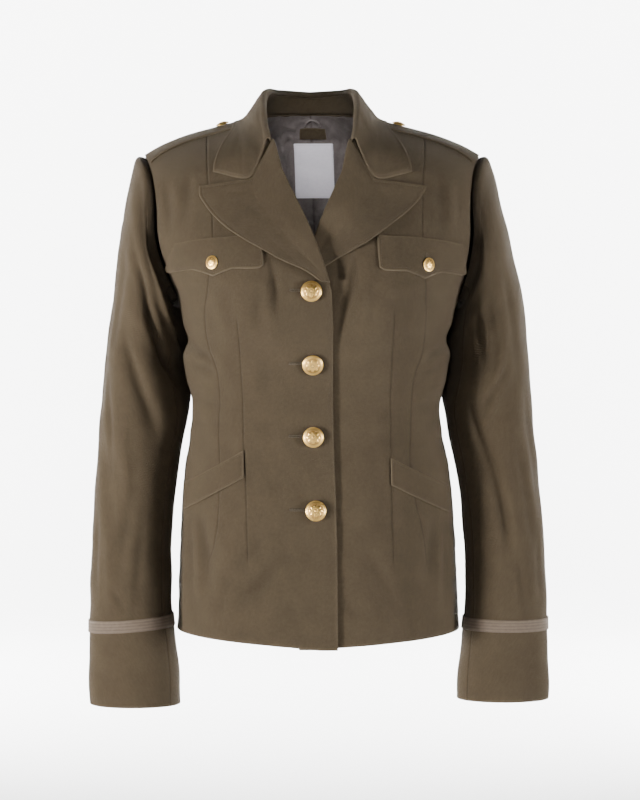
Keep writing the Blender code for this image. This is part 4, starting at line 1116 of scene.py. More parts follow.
def panel_lift(side, out, height, facing):
    """Returns how far each point of a panel lies over the plain form, and its seam mask."""
    creases = FRONT_CREASES if facing == "front" else BACK_CREASES
    rise = -CREASE_DEPTH * fold_depth(creases, side, out, height)
    rise = rise + ripple(out, height, 11 * side + len(facing), 0.00050)
    open_part = 1 - covered(side, out, height, facing)
    rise = np.where(rise > 0, rise * open_part, rise * (0.35 + 0.65 * open_part))
    lines = seam_lines(side, facing, height)
    if facing == "front":
        long = ease((height - DART_LOW + 0.006) / 0.020)
        shown = (0.0, long * ease((DART_TOP[side] - height) / 0.016), long, 1.0)
    else:
        shown = (0.0, 1.0, 1.0)
    seam = np.zeros_like(out)
    dip = np.zeros_like(out)
    for place in range(1, lines.shape[-1]):
        away = out - lines[..., place]
        dip = dip + groove(away) * shown[place]
        seam = np.maximum(seam, near(away, SEAM_MASK) * shown[place])
    if facing == "back":
        dip = dip + groove(out)
        seam = np.maximum(seam, near(out, SEAM_MASK))
    dip = np.where(dip > 0, dip * open_part, dip)
    return rise + dip, seam


def panel(side, word, facing):
    """Makes a front or a back with its seams, darts and creases."""
    counts = FRONT_COUNTS if facing == "front" else BACK_COUNTS
    out, height = panel_grid(side, facing, counts, FINE_LOW, FINE_ARM)
    points = body_point(side, out, height, facing)
    if facing == "front" and side == LEFT:
        points[..., 1] += under_front(out, height)
    normals = body_normal(side, out, height, facing)
    normals[..., 0] *= side
    low = height[:, -1] <= UNDERARM + 0.0001
    flatten(normals, (np.nonzero(low)[0], -1), 1)
    on_seam = np.nonzero(out[-1] >= NECK_OUT - 0.001)[0]
    flatten(normals, (-1, on_seam), 1)
    if facing == "back":
        flatten(normals, (slice(None), 0), 0)
    rise, seam = panel_lift(side, out, height, facing)
    from_top = lengths(points, 0)[-1:] - lengths(points, 0)
    shoulder = np.where(out[-1:] >= NECK_OUT - 0.001, near(from_top, 0.0007), 0.0)
    rise = rise - 0.0006 * shoulder
    outer = points + normals * rise[..., None]
    inner = outer - normals * CLOTH
    centre = SEAM_GAP / 2 if facing == "back" else 0.0
    outer = pull_in(outer, (0.0, SEAM_GAP / 2), (centre, SEAM_GAP / 2))
    inner = pull_in(inner, (0.0, SEAM_GAP / 2), (centre, SEAM_GAP / 2))
    free = (True, False, facing == "front", False)
    away = edge_distance(outer, free)
    # The hollow mask is painted shade in the creases. The edge mask lightens the free edges as wear and as a
    # painted highlight.
    hollow = np.clip(-rise / 0.0040, 0.0, 1.0)
    masks = {"edge": near(away, EDGE_MASK), "seam": np.maximum(seam, shoulder), "hollow": hollow}
    rims = (0.0007, 0.0, 0.0007 if facing == "front" else 0.0, 0.0)
    cloth(facing + "_cloth_" + word, facing + "_" + word, outer, inner, rims, masks)


FLAP_TOP = -0.1370
FLAP_POINT = 0.0085
FLAP_LIFT = 0.0012
FLAP_CORNER = 0.0030
FLAP_CLOTH = 0.0018

# Chest flaps: side, inner and outer end, spread of the lower edge, fall of the upper and lower
# edge towards the arm, lower edge, and the place of the button.
FLAPS = (
    ("side", "in", "out", "flare", "fall", "drop", "bottom", "button_out", "button_height"),
    (RIGHT, 0.0562, 0.1490, 0.0150, 0.0075, 0.0050, -0.1710, 0.1092, -0.1655),
    (LEFT, 0.0680, 0.1590, 0.0030, 0.0080, 0.0050, -0.1735, 0.1190, -0.1675),
)
NOTCH = (0.0660, -0.0770)
LAPEL_TIP = -0.0830
LAPEL_END = -0.1860
LAPEL_STAND = 0.0030
LAPEL_SPRING = 0.0028
LAPEL_TOP = -0.0390

# The outer edge of each lapel: height and how far out.
LAPEL_EDGE = tenths(
    ("height", "right", "left"),
    (-1860, -40, -100),
    (-1750, 110, 20),
    (-1640, 343, 195),
    (-1530, 537, 400),
    (-1400, 762, 620),
    (-1240, 977, 830),
    (-1040, 1150, 1070),
    (-900, 1220, 1185),
    (-830, 1220, 1220),
)

# Welts of the lower pockets: side, inner top corner, outer top corner, height.
WELTS = (
    ("side", "in", "top_in", "out", "top_out", "tall"),
    (RIGHT, 0.0790, -0.3690, 0.1460, -0.4080, 0.0280),
    (LEFT, 0.0800, -0.3770, 0.1440, -0.4110, 0.0280),
)

WELT_REST = 0.0008
WELT_CLOTH = 0.0016

# %% [markdown]
# ## Fronts and backs
# Each panel is made from the fine grid: a point on the plain form, moved along the way out of
# the cloth by its creases, grooves and long soft unevenness. The left front lies under the
# right one along the closing, so it is set back there.

# %% Make the fronts and backs
for side, word in WORDS.items():
    for facing in ("front", "back"):
        panel(side, word, facing)

# %% [markdown]
# ## Sleeves
# A two-piece sleeve has a wide top piece and a narrow under piece, with one seam towards the
# front and one behind the elbow. Both are parts of one tube that hangs from the armhole and
# turns slightly forwards, with the deepest creases inside the elbow.

# %% Sleeve sizes

# Sections of a sleeve: its way down, outer and inner points, depths, and the middle.
SLEEVE = tenths(
    ("way", "outer_out", "outer_height", "inner_out", "inner_height", "front", "back", "middle"),
    (0, 1865, -470, 1560, -2050, 620, 520, 0),
    (60, 1925, -475, 1595, -2070, 650, 550, 0),
    (180, 1985, -570, 1615, -2110, 670, 580, 0),
    (400, 2050, -780, 1610, -2160, 670, 600, 10),
    (780, 2130, -1150, 1590, -2260, 660, 610, 30),
    (1290, 2225, -1650, 1555, -2430, 640, 610, 50),
    (1650, 2285, -2000, 1545, -2560, 620, 600, 60),
    (2100, 2345, -2450, 1540, -2750, 600, 590, 60),
    (2550, 2385, -2900, 1490, -3020, 580, 570, 40),
    (2960, 2415, -3300, 1440, -3320, 560, 550, 10),
    (3460, 2455, -3800, 1525, -3800, 530, 520, -50),
    (4010, 2495, -4350, 1600, -4350, 500, 490, -120),
    (4560, 2525, -4900, 1635, -4900, 470, 460, -200),
    (5060, 2540, -5400, 1630, -5400, 440, 430, -280),
    (5560, 2545, -5900, 1575, -5900, 410, 400, -350),
    (5910, 2550, -6250, 1540, -6250, 390, 385, -400),
    (6200, 2540, -6540, 1530, -6540, 380, 375, -430),
)

SLEEVE_FRONT_SEAM = 144
SLEEVE_BACK_SEAM = 252
SLEEVE_CUT = {RIGHT: 0.0020, LEFT: 0.0080}
CAP_BLEND = 0.080
SLEEVE_CREASE_DEPTH = 1.45
SLEEVE_FULL = 0.0124
CAP_FLAT = 0.0070
BRAID_TOP = 0.5230
BRAID_WIDE = 0.0130
BRAID_SLANT = {RIGHT: 0.0070, LEFT: 0.0005}

# Large folds of a sleeve: angle and way at both ends, width and depth inwards.
SLEEVE_FOLDS = trough_rows(
    SLEEVE_UNITS,
    (
        (60, 190, 118, 345, 150, 40), (20, 300, 70, 430, 140, 35), (235, 250, 280, 330, 130, 40),
    ),
    (
        (50, 250, 105, 340, 150, 35), (105, 330, 80, 480, 160, 40), (235, 250, 280, 330, 130, 40),
    ),
)


def armhole_point(side, angle):
    """Returns the armhole seam at an angle: 0 at the shoulder, 90 in front."""
    turn = np.radians(angle)
    middle = (SHOULDER_HEIGHT + UNDERARM) / 2
    height = middle + (SHOULDER_HEIGHT - UNDERARM) / 2 * np.cos(turn)
    out = edge_out(height + 1e-7)
    front = depth(side, out, height, "front")
    back = depth(side, out, height, "back")
    ahead = np.sin(turn) >= 0
    deep = np.where(ahead, -front, back)
    return out + 0.0004, deep, height


def sleeve_parts(side, angle, way):
    """Returns out, deep and height of points on a sleeve."""
    turn = np.radians(angle)
    share = (1 + np.cos(turn)) / 2
    ends = []
    for station in (way, np.zeros_like(way)):
        read = {name: smooth(SLEEVE, name, station) for name in SLEEVE[0][1:]}
        out = read["inner_out"] + (read["outer_out"] - read["inner_out"]) * share
        height = read["inner_height"] + (read["outer_height"] - read["inner_height"]) * share
        reach = np.where(np.sin(turn) >= 0, read["front"], read["back"])
        deep = read["middle"] - reach * np.sign(np.sin(turn)) * np.abs(np.sin(turn)) ** 0.92
        ends.append((out, deep, height))
    hole = armhole_point(side, angle)
    fade = np.clip(1 - way / CAP_BLEND, 0.0, 1.0) ** 2
    parts = [here + (seam - start) * fade for here, start, seam in zip(ends[0], ends[1], hole)]
    inward = fold_depth(SLEEVE_FOLDS, side, angle % 360, way, 0.001)
    middle_out = (smooth(SLEEVE, "outer_out", way) + smooth(SLEEVE, "inner_out", way)) / 2
    middle_deep = smooth(SLEEVE, "middle", way)
    reach = np.hypot(parts[0] - middle_out, parts[1] - middle_deep)
    shrink = 1 - inward * (1 - fade) / np.maximum(reach, 0.01)
    out = middle_out + (parts[0] - middle_out) * shrink
    deep = middle_deep + (parts[1] - middle_deep) * shrink
    return out, deep, parts[2]


def sleeve_point(side, angle, way):
    """Returns points on a sleeve's cloth."""
    angle, way = np.broadcast_arrays(angle, way)
    return placed(side, *sleeve_parts(side, angle, way))


def sleeve_way_out(side, angle, way):
    """Returns the way out of a sleeve's cloth, measured between close points."""
    around = sleeve_point(side, angle + 0.8, way) - sleeve_point(side, angle - 0.8, way)
    later = np.minimum(way + 0.0012, SLEEVE[-1][0])
    earlier = np.maximum(way - 0.0012, 0.0)
    along = sleeve_point(side, angle, later) - sleeve_point(side, angle, earlier)
    normals = np.cross(around, along)
    normals /= np.maximum(np.linalg.norm(normals, axis=-1, keepdims=True), 1e-12)
    middle = np.mean(sleeve_point(side, np.arange(0.0, 360.0, 30.0)[None, :], way[:, :1]), axis=1)
    outward = np.sum(normals * (sleeve_point(side, angle, way) - middle[:, None]))
    return normals if outward > 0 else -normals


def sleeve_lift(side, angle, way):
    """Returns how far a sleeve's point lies over the plain tube."""
    turned = np.mod(angle, 360.0)
    rise = -SLEEVE_CREASE_DEPTH * fold_depth(SLEEVE_CREASES, side, turned, way, 0.001)
    near_body = ease((way - 0.015) / 0.030) * ease((0.305 - way) / 0.060)
    rise = rise + SLEEVE_FULL * near(turned - 200.0, 26.0) * near_body
    rise = rise - CAP_FLAT * near(turned - 86.0, 42.0) * near(way - 0.023, 0.030)
    rise = rise + ripple(turned * 0.0005, way * 0.6, 31 + side, 0.00050) * ease(way / 0.03)
    top = np.clip(np.cos(np.radians(turned)), 0.0, 1.0)
    rise = rise + 0.0014 * top * near(way - 0.010, 0.009)
    slant = BRAID_SLANT[side] * np.cos(np.radians(turned)) / 2
    band = ease((way - BRAID_TOP - slant + 0.012) / 0.010)
    past = ease((way - BRAID_TOP - slant - BRAID_WIDE - 0.002) / 0.010)
    flat = 1 - band * (1 - past)
    return rise * flat - 0.0008 * near(way, 0.0014)


def sleeve_piece(side, word, part, start, end, count):
    """Makes one of the two pieces of a sleeve."""
    angles = start + (end - start) * crowded(count)
    angles = np.sort(np.concatenate((angles, (start + 0.45, start + 1.1, end - 0.45, end - 1.1))))
    ways = np.linspace(0.0, SLEEVE[-1][0] - SLEEVE_CUT[side], 190)
    ways = np.sort(np.concatenate((ways, (0.0008, 0.0018, 0.0050, ways[-1] - 0.0009, ways[-1] - 0.0021))))
    angle, way = np.meshgrid(angles, ways)
    points = sleeve_point(side, angle, way)
    normals = sleeve_way_out(side, angle, way)
    rise = sleeve_lift(side, angle, way)
    over = lengths(points, 1)
    from_side = np.minimum(over, over[:, -1:] - over)
    seam = near(from_side, SEAM_MASK)
    rise = rise + 0.7 * groove(from_side)
    outer = points + normals * rise[..., None]
    inner = outer - normals * CLOTH
    outer = pull_in(outer, (SEAM_GAP, 0.0), (SEAM_GAP, SEAM_GAP))
    inner = pull_in(inner, (SEAM_GAP, 0.0), (SEAM_GAP, SEAM_GAP))
    away = edge_distance(outer, (False, True, False, False))
    seam = np.maximum(seam, near(way, 0.0008))
    # The hollow mask is painted shade in the creases. The edge mask lightens the cuff as wear and as a
    # painted highlight.
    masks = {"edge": near(away, EDGE_MASK), "seam": seam, "hollow": np.clip(-rise / 0.0045, 0.0, 1.0)}
    name = "sleeve_" + part
    cloth(name + "_cloth_" + word, name + "_" + word, outer, inner, (0.0, 0.0007, 0.0, 0.0), masks)

# %% Make the sleeves
for side, word in WORDS.items():
    for part, start, end, count in (
        ("top", SLEEVE_BACK_SEAM, 360 + SLEEVE_FRONT_SEAM, 92),
        ("under", SLEEVE_FRONT_SEAM, SLEEVE_BACK_SEAM, 48),
    ):
        sleeve_piece(side, word, part, float(start), float(end), count)

# %% [markdown]
# ## Braid
# A flat woven braid runs round each cuff. It is a ribbon a little over one millimetre thick
# with ribs along it, so its grid has many rows across the narrow width and its outer face rises
# and falls with the ribs.

# %% Make the braid
BRAID_RIBS = 4
BRAID_ROWS = 25
BRAID_RELIEF = 0.00012


def braid_band(side, word):
    """Makes the band of braid round one cuff."""
    angles = np.linspace(0.0, 360.0, 181)[:-1]
    across = crowded(BRAID_ROWS)
    slant = BRAID_SLANT[side] * np.cos(np.radians(angles)) / 2
    ways = BRAID_TOP + across[:, None] * BRAID_WIDE + slant[None, :]
    angle, _ = np.meshgrid(angles, across)
    points = sleeve_point(side, angle, ways)
    normals = sleeve_way_out(side, angle, ways)
    ribs = 0.5 - 0.5 * np.cos(2 * math.pi * BRAID_RIBS * across)
    chevron = np.sin(np.radians(angle) * 110 + 9 * np.abs(ways - ways.mean()) / BRAID_WIDE)
    rise = BRAID_RELIEF * (ribs[:, None] - 1 + 0.35 * chevron)
    low = points + normals * REST
    high = low + normals * (BRAID + rise)[..., None]
    away = edge_distance(high, (True, True, False, False))
    # The valleys between the ribs are darkened through the seam mask as painted shade. The edge mask
    # lightens the edges as wear and as a painted highlight.
    masks = {"edge": near(away, 0.0009), "seam": 1 - ribs[:, None]}
    rims = (0.0003, 0.0003)
    cloth("braid_" + word, "cuff_braid_" + word, high, low, rims, masks, wrap=True, slot="braid")


for side, word in WORDS.items():
    braid_band(side, word)
print("braid:", BRAID_WIDE * 1000, "mm wide")

# %% [markdown]
# ## Collar
# The collar stands up from the neck seam, folds over and lies down on the shoulders. Its leaf
# has to rest on the cloth below, so a search tree of that cloth tells how high each point lies,
# and cells that would cut into it are lifted. The coarse grid made so is then filled with
# smooth curves.

# %% Collar shape

# The fold of the collar, from the middle of the back to the gorge.
COLLAR_ROLL = tenths(
    ("share", "out", "deep", "height"),
    (0, 0, 570, 270),
    (1800, 250, 490, 280),
    (3600, 385, 270, 275),
    (5200, 445, 20, 230),
    (7000, 470, -290, 70),
    (8600, 455, -570, -140),
    (10000, 425, -800, -320),
)

# The outer edge of the collar, from the middle of the back to its point.
COLLAR_EDGE = tenths(
    ("share", "out", "deep", "height"),
    (0, 0, 830, -180),
    (2200, 420, 760, -170),
    (3800, 700, 480, -130),
    (5400, 830, 60, -80),
    (7400, 870, -330, -180),
    (8800, 950, -560, -400),
    (10000, 1050, -800, -710),
)

COLLAR_TURN = 0.0085
LEAF_REST = 0.0008
CLEAR_ROUNDS = 5
STAND_ROWS = 6
STAND_SHORT = 3
COLLAR_COLUMNS = 16


def body_skin(low_rows, arm_steps, wide):
    """Returns a search tree of the body's outer cloth, as fine as asked for."""
    corners = []
    faces = []
    for side in (RIGHT, LEFT):
        for facing in ("front", "back"):
            out, height = body_grid(facing, low_rows, arm_steps, wide[facing])
            points = body_point(side, out, height, facing)
            place = len(corners) + np.arange(out.size).reshape(out.shape)
            corners.extend(Vector(point) for point in points.reshape(-1, 3))
            ends = (place[:-1, :-1], place[:-1, 1:], place[1:, 1:], place[1:, :-1])
            for first, second, third, fourth in zip(*(end.reshape(-1).tolist() for end in ends)):
                faces += [(first, second, third), (first, third, fourth)]
    return BVHTree.FromPolygons(corners, faces)


def off_skin(tree, point):
    """Returns the way out of the nearest skin point, the height over it and the distance."""
    foot, normal, _, far = tree.find_nearest(Vector(point))
    if normal.dot(foot - Vector(BODY_MIDDLE)) < 0:
        normal = -normal
    return np.array(normal), (Vector(point) - foot).dot(normal), far


def height_over(tree, spot):
    """Returns a spot's height over the skin, or a large one where it lies past the edge."""
    _, over, far = off_skin(tree, spot)
    return 1.0 if far > 1.05 * abs(over) + 0.0003 else over


def raise_clear(points, normals, trees, first_row):
    """Lifts the cells of a grid until their undersides clear the cloth below."""
    rows, columns = points.shape[:2]
    shares = (0.0, 0.25, 0.5, 0.75, 1.0)
    for _ in range(CLEAR_ROUNDS):
        low = points - normals * CLOTH
        lift = np.zeros((rows, columns))
        for row in range(first_row, rows - 1):
            for col in range(columns - 1):
                over = 1.0
                for down in shares:
                    start = low[row, col] * (1 - down) + low[row + 1, col] * down
                    end = low[row, col + 1] * (1 - down) + low[row + 1, col + 1] * down
                    for across in shares:
                        spot = start * (1 - across) + end * across
                        over = min([over] + [height_over(tree, spot) for tree in trees])
                cell = (slice(row, row + 2), slice(col, col + 2))
                lift[cell] = np.maximum(lift[cell], max(LEAF_REST - over, 0.0))
        points = points + normals * lift[..., None]
    return points


def neck_seam(share):
    """Returns out, deep and height along the neck seam, back to gorge."""
    turn = np.clip(share / 0.5, 0.0, 1.0) * np.pi / 2
    back_out = NECK_OUT * np.sin(turn)
    back_height = top_height(back_out, "back")
    back_deep = depth(LEFT, back_out, back_height, "back")
    ahead = np.clip((share - 0.5) / 0.5, 0.0, 1.0)
    front_out = NECK_OUT + (0.0425 - NECK_OUT) * ahead
    front_height = smooth(FRONT_TOP, "height", front_out)
    front_deep = -depth(LEFT, front_out, front_height, "front")
    behind = share <= 0.5
    pairs = ((back_out, front_out), (back_deep, front_deep), (back_height, front_height))
    return [np.where(behind, back, front) for back, front in pairs]


def collar_grid(side, trees, columns, leaf_rows):
    """Returns half the collar: up its stand, over the fold and down the leaf."""
    share = np.linspace(0.0, 1.0, columns)
    share = share + 0.06 * np.sin(2 * np.pi * share)
    fold, edge = [
        np.stack([smooth(table, name, share) for name in ("out", "deep", "height")], axis=-1)
        for table in (COLLAR_ROLL, COLLAR_EDGE)
    ]
    seam = np.stack(neck_seam(share), axis=-1)
    axis = np.stack((fold[:, 0], fold[:, 1], np.zeros(columns)), axis=-1)
    along = np.gradient(fold, axis=0)
    along = unit(along)
    fall = edge - fold
    fall -= along * np.sum(fall * along, axis=-1, keepdims=True)
    fall = unit(fall)
    side_way = np.cross(along, fall)
    side_way *= np.where(np.sum(side_way * axis, axis=-1, keepdims=True) < 0, -1.0, 1.0)
    turn = COLLAR_TURN * (1 - 0.30 * share[:, None] ** 3)
    seam = seam - axis / np.linalg.norm(axis, axis=-1, keepdims=True) * (CLOTH + REST)
    tall = np.linalg.norm(seam - fold, axis=-1, keepdims=True)
    ahead = np.clip(2 * share[:, None] - 1, 0.0, 1.0)
    rise = seam + (fold - seam) * (0.03 + 0.44 * ahead**2)
    inside = fold + (seam - fold) * np.minimum(0.35, 0.0045 / tall)
    outside = fold + side_way * turn + fall * 0.0045
    top = fold + side_way * turn / 2
    rows = [rise, (rise + inside) / 2, inside, fold + side_way * turn * 0.14 + fall * 0.0012, top]
    rows.append(fold + side_way * turn * 0.86 + fall * 0.0012)
    notch = np.array((NOTCH[0], 0.0, NOTCH[1]))
    notch[1] = -depth(side, notch[0], notch[2], "front") - 0.003
    for step in np.linspace(0.0, 1.0, leaf_rows):
        row = outside * (1 - step) + edge * step
        ends = np.interp(step, (0.0, 0.5, 1.0), (0.0, 1.0, 2.0))
        if ends <= 1:
            target = outside[-1] + (notch - outside[-1]) * ends
        else:
            target = notch + (edge[-1] - notch) * (ends - 1)
        row = row + (share**5)[:, None] * (target - row[-1])
        rows.append(row)
    points = np.stack(rows)
    points = placed(side, points[..., 0], points[..., 1], points[..., 2])
    normals = grid_normals(points)
    if np.sum(normals[-1] * (points[-1] - BODY_MIDDLE)) < 0:
        normals = -normals
    for row in range(STAND_ROWS, points.shape[0]):
        step = (row - STAND_ROWS) / (leaf_rows - 1)
        rest = ease((step - 0.25) / 0.5)
        for col in range(columns):
            normal, over, _ = off_skin(trees[0], points[row, col])
            least = CLOTH + LEAF_REST
            target = max(over + (least - over) * rest, least)
            points[row, col] += normal * (target - over)
            turned = normals[row, col] * (1 - rest) + normal * rest
            normals[row, col] = turned / np.linalg.norm(turned)
    return raise_clear(points, normals, trees, STAND_ROWS + 1), normals

# %% Make the collar
STITCH_IN = 0.0030
WELT_STITCH_IN = 0.0026
STITCH_HALF = 0.0007
STITCHED_SEAM = 0.35
EDGE_LINE = 0.0011
ALL_FREE = (True, True, True, True)
FINE_COLLAR = 49
FINE_LEAF = 17
MORE_ROWS = 4
MORE_COLUMNS = 2
LEAF_SOFTER = 6


def collar_pieces():
    """Makes the stand of the collar and the leaf that folds over it."""
    cut = {"front": FRONT_COLUMNS, "back": BACK_COLUMNS}
    fine = {"front": SKIN_COLUMNS, "back": SKIN_COLUMNS}
    trees = (body_skin(SKIN_ROWS, SKIN_ROWS, fine), body_skin(LOW_ROWS, ARM_STEPS, cut))
    right, right_normals = collar_grid(RIGHT, trees, FINE_COLLAR, FINE_LEAF)
    left, left_normals = collar_grid(LEFT, trees, FINE_COLLAR, FINE_LEAF)
    points = np.concatenate((right[:, ::-1], left[:, 1:]), axis=1)
    normals = np.concatenate((right_normals[:, ::-1], left_normals[:, 1:]), axis=1)
    flatten(normals, (slice(None), FINE_COLLAR - 1), 0)
    for _ in range(LEAF_SOFTER):
        soft = points[STAND_ROWS + 1:-2] + 2 * points[STAND_ROWS + 2:-1] + points[STAND_ROWS + 3:]
        points[STAND_ROWS + 2:-1] = soft / 4
    inner = points - normals * CLOTH
    layers = [finer(finer(layer, MORE_ROWS, 0), MORE_COLUMNS, 1) for layer in (points, inner)]
    split = 2 * MORE_ROWS
    short = STAND_SHORT * MORE_COLUMNS * (FINE_COLLAR - 1) // (COLLAR_COLUMNS - 1)
    stand = [layer[:split + 1, short:-short] for layer in layers]
    stand = [pull_in(layer, (0.0, REST)) for layer in stand]
    leaf = [layer[split:] for layer in layers]
    return stand, leaf


stand, leaf = collar_pieces()
cloth("collar_stand_cloth", "collar_stand", stand[0], stand[1], (0.0, 0.0, 0.0, 0.0))
rows, columns = leaf[0].shape[:2]
edge = edge_distance(leaf[0], (False, True, True, True))
over = np.arange(columns)[None, :] * 0.0022
down = np.arange(rows)[:, None] * 0.0018
swell = ripple(over, down, 5, 0.00025)
way = leaf[0] - leaf[1]
way = unit(way)
stitched = near(edge - STITCH_IN, STITCH_HALF)
rise = np.abs(swell) * ease(edge / 0.01) - 0.00025 * stitched
leaf[0] = leaf[0] + way * rise[..., None]
# The edge mask lightens the leaf's edges, partly as wear and partly as a painted highlight.
masks = {"edge": near(edge, 0.0010), "seam": STITCHED_SEAM * stitched}
cloth("collar_leaf_cloth", "collar_leaf", leaf[0], leaf[1], (0.0, 0.0009, 0.0009, 0.0009), masks)
# The cut of the leaf is stated before that of the stand.
GRIDS["collar_stand"] = GRIDS.pop("collar_stand")

# %% [markdown]
# ## Lapels
# A lapel is the front's own facing, turned back along the roll line. Its grid starts below the
# roll, goes round it in a soft half turn and then lies on the chest. The stitch line near its
# edge is pressed in slightly.

# %% Make the lapels
ROLL_STEPS = 9
ROLL_FLAT = 0.45
ROLL_UNDER = -0.0008
GORGE_UNDER = 0.0020
GORGE_RISE = 0.0065


# The roll line is the top line of the front, read by its height.
ROLL_LINE = (("height", "out"),) + tuple((height, out) for out, height in FRONT_TOP[1:])


def lapel_outline(side):
    """Returns the corners and edges of a lapel as functions of a share."""
    def fold(share):
        height = LAPEL_TOP + (LAPEL_END - LAPEL_TOP) * share
        return smooth(ROLL_LINE, "out", height) + 0.0006, height

    def edge(share):
        height = LAPEL_TIP + (LAPEL_END - LAPEL_TIP) * share
        return smooth(LAPEL_EDGE, WORDS[side], height), height

    return fold, edge


def lapel_places(side, down, across):
    """Returns the out, height and lift of a lapel's points."""
    fold, edge_line = lapel_outline(side)
    down = down[:, None]
    across = across[None, :]
    fold_out, fold_height = fold(down)
    edge_at, edge_height = edge_line(down)
    out = fold_out + (edge_at - fold_out) * across
    height = fold_height + (edge_height - fold_height) * across
    first_out, first_height = fold(0.0)
    tip_out, tip_height = edge_line(0.0)
    ends = (0.0, 0.42, 1.0)
    top_out = np.interp(across, ends, (float(first_out), NOTCH[0] + REST, float(tip_out)))
    notch_height = NOTCH[1] + GORGE_UNDER * 0.5
    top_up = np.interp(across, ends, (float(first_height) + GORGE_RISE, notch_height, float(tip_height)))
    fade = (1 - down) ** 4
    out = out + fade * (top_out - out[:1])
    height = height + fade * (top_up - height[:1])
    roll = LAPEL_STAND * (1 - ease(across / 0.45)) * np.ones_like(down)
    stand_up = LAPEL_SPRING * ease((down - 0.15) / 0.35) * ease(across / 0.4)
    return out, height, REST + roll * ease(down / 0.2 + 0.4) + stand_up


def lapel_piece(side, word):
    """Makes a lapel with its roll."""
    across = crowded(56)
    across = np.sort(np.concatenate((across, (0.9660, 0.9720, 0.9780))))
    out, height, lift = lapel_places(side, crowded(80), across)
    top = lift + CLOTH
    turns = np.linspace(math.pi, 0.0, ROLL_STEPS + 1)[:-1]
    radius = (top[:, :1] - ROLL_UNDER) / 2
    roll_out = out[:, :1] - radius * np.sin(turns) * ROLL_FLAT
    roll_lift = ROLL_UNDER + radius + radius * np.cos(turns)
    full_out = np.concatenate((roll_out, out), axis=1)
    full_height = np.concatenate((np.repeat(height[:, :1], ROLL_STEPS, axis=1), height), axis=1)
    full_lift = np.concatenate((roll_lift, top), axis=1)
    soft = ripple(full_out, full_height, 71 + side, 0.00035)
    points = body_point(side, full_out, full_height, "front", full_lift)
    away = edge_distance(points, (True, False, False, True))
    stitched = near(away - STITCH_IN, STITCH_HALF)
    rise = np.abs(soft) * ease(away / 0.01) - 0.00025 * stitched
    if side == LEFT:
        sunk = under_share(out, height) * (lift + 2 * CLOTH + UNDER_REST)
        sunk = np.concatenate((np.repeat(sunk[:, :1], ROLL_STEPS, axis=1), sunk), axis=1)
        points[..., 1] += sunk
    normals = grid_normals(points)
    if np.mean(normals[:, -20:, 1]) > 0:
        normals = -normals
    low = body_point(side, out, height, "front", lift)
    if side == LEFT:
        low[..., 1] += sunk[:, ROLL_STEPS:]
    thin = 0.0006 + (CLOTH - 0.0006) * np.linspace(0.0, 1.0, ROLL_STEPS)[None, :, None]
    turned = points[:, :ROLL_STEPS] - normals[:, :ROLL_STEPS] * thin
    inner = np.concatenate((turned, low), axis=1)
    points = points + normals * rise[..., None]
    # The edge mask lightens the lapel's edges, partly as wear and partly as a painted highlight.
    masks = {"edge": near(away, 0.0010), "seam": STITCHED_SEAM * stitched}
    rims = (0.0007, 0.0007, 0.0, 0.0009)
    cloth("lapel_cloth_" + word, "lapel_" + word, points, inner, rims, masks)


for side, word in WORDS.items():
    lapel_piece(side, word)

# %% [markdown]
# ## Flaps, welts and straps
# These small pieces lie on the cloth below. Each is a flat shape in out and height, put on the
# form with a small lift, so it curves with the chest or the shoulder by itself. A flap bows out
# a little towards its free lower edge.

# %% Make the flaps and welts
def flap_places(side, down, across):
    """Returns out and height of a chest flap, with its point in the middle."""
    down = down[:, None]
    across = across[None, :]
    flap = row_of(FLAPS, side)
    out = flap["in"] + (flap["out"] - flap["in"]) * across
    top = FLAP_TOP - flap["fall"] * across**2.2
    swing = np.abs(2 * across - 1)
    point = FLAP_POINT * np.maximum(1 - swing / 0.42, 0.0) ** 1.2
    corner = FLAP_CORNER * np.clip((swing - 0.86) / 0.14, 0.0, 1.0) ** 2
    bottom = flap["bottom"] - flap["drop"] * swing * across - point + corner
    return out + flap["flare"] * across * down, top + (bottom - top) * down


def welt_places(side, down, across):
    """Returns out and height of a slanting welt."""
    row = row_of(WELTS, side)
    across = across[None, :]
    out = row["in"] + (row["out"] - row["in"]) * across
    top = row["top_in"] + (row["top_out"] - row["top_in"]) * across
    return np.broadcast_arrays(out, top - row["tall"] * down[:, None])




def laid_piece(base, word, low, high, free, stitch, rim):
    """Closes a small piece that lies on the cloth, with its stitch line pressed in."""
    way = high - low
    way = unit(way)
    away = edge_distance(high, free)
    stitched = near(away - stitch, STITCH_HALF)
    high = high - way * (0.00022 * stitched + 0.00035 * near(away, 0.0007))[..., None]
    # The thin lighter line along the rims is partly wear and partly a painted highlight.
    rim_line = near(edge_distance(high, ALL_FREE), EDGE_LINE)
    masks = {"edge": 1.4 * rim_line, "seam": STITCHED_SEAM * stitched}
    rims = [rim * is_free for is_free in free]
    cloth(base + "_cloth_" + word, base + "_" + word, high, low, rims, masks)


for side, word in WORDS.items():
    out, height = flap_places(side, crowded(34), crowded(80))
    flap = row_of(FLAPS, side)
    bow = ease((FLAP_TOP - height) / 0.035) * near(out - 0.085, 0.022) * 0.0012
    lift = REST + FLAP_LIFT * ((out - flap["in"]) / (flap["out"] - flap["in"])) ** 2 + bow
    lift = lift + np.abs(ripple(out, height, 90 + side, 0.00025))
    low = body_point(side, out, height, "front", lift)
    high = body_point(side, out, height, "front", lift + FLAP_CLOTH)
    laid_piece("chest_flap", word, low, high, (False, True, True, True), STITCH_IN, 0.0008)
    out, height = welt_places(side, crowded(24), crowded(54))
    low = body_point(side, out, height, "front", WELT_REST)
    high = body_point(side, out, height, "front", WELT_REST + WELT_CLOTH)
    laid_piece("pocket_welt", word, low, high, ALL_FREE, WELT_STITCH_IN, 0.0007)
print("flaps and welts made")

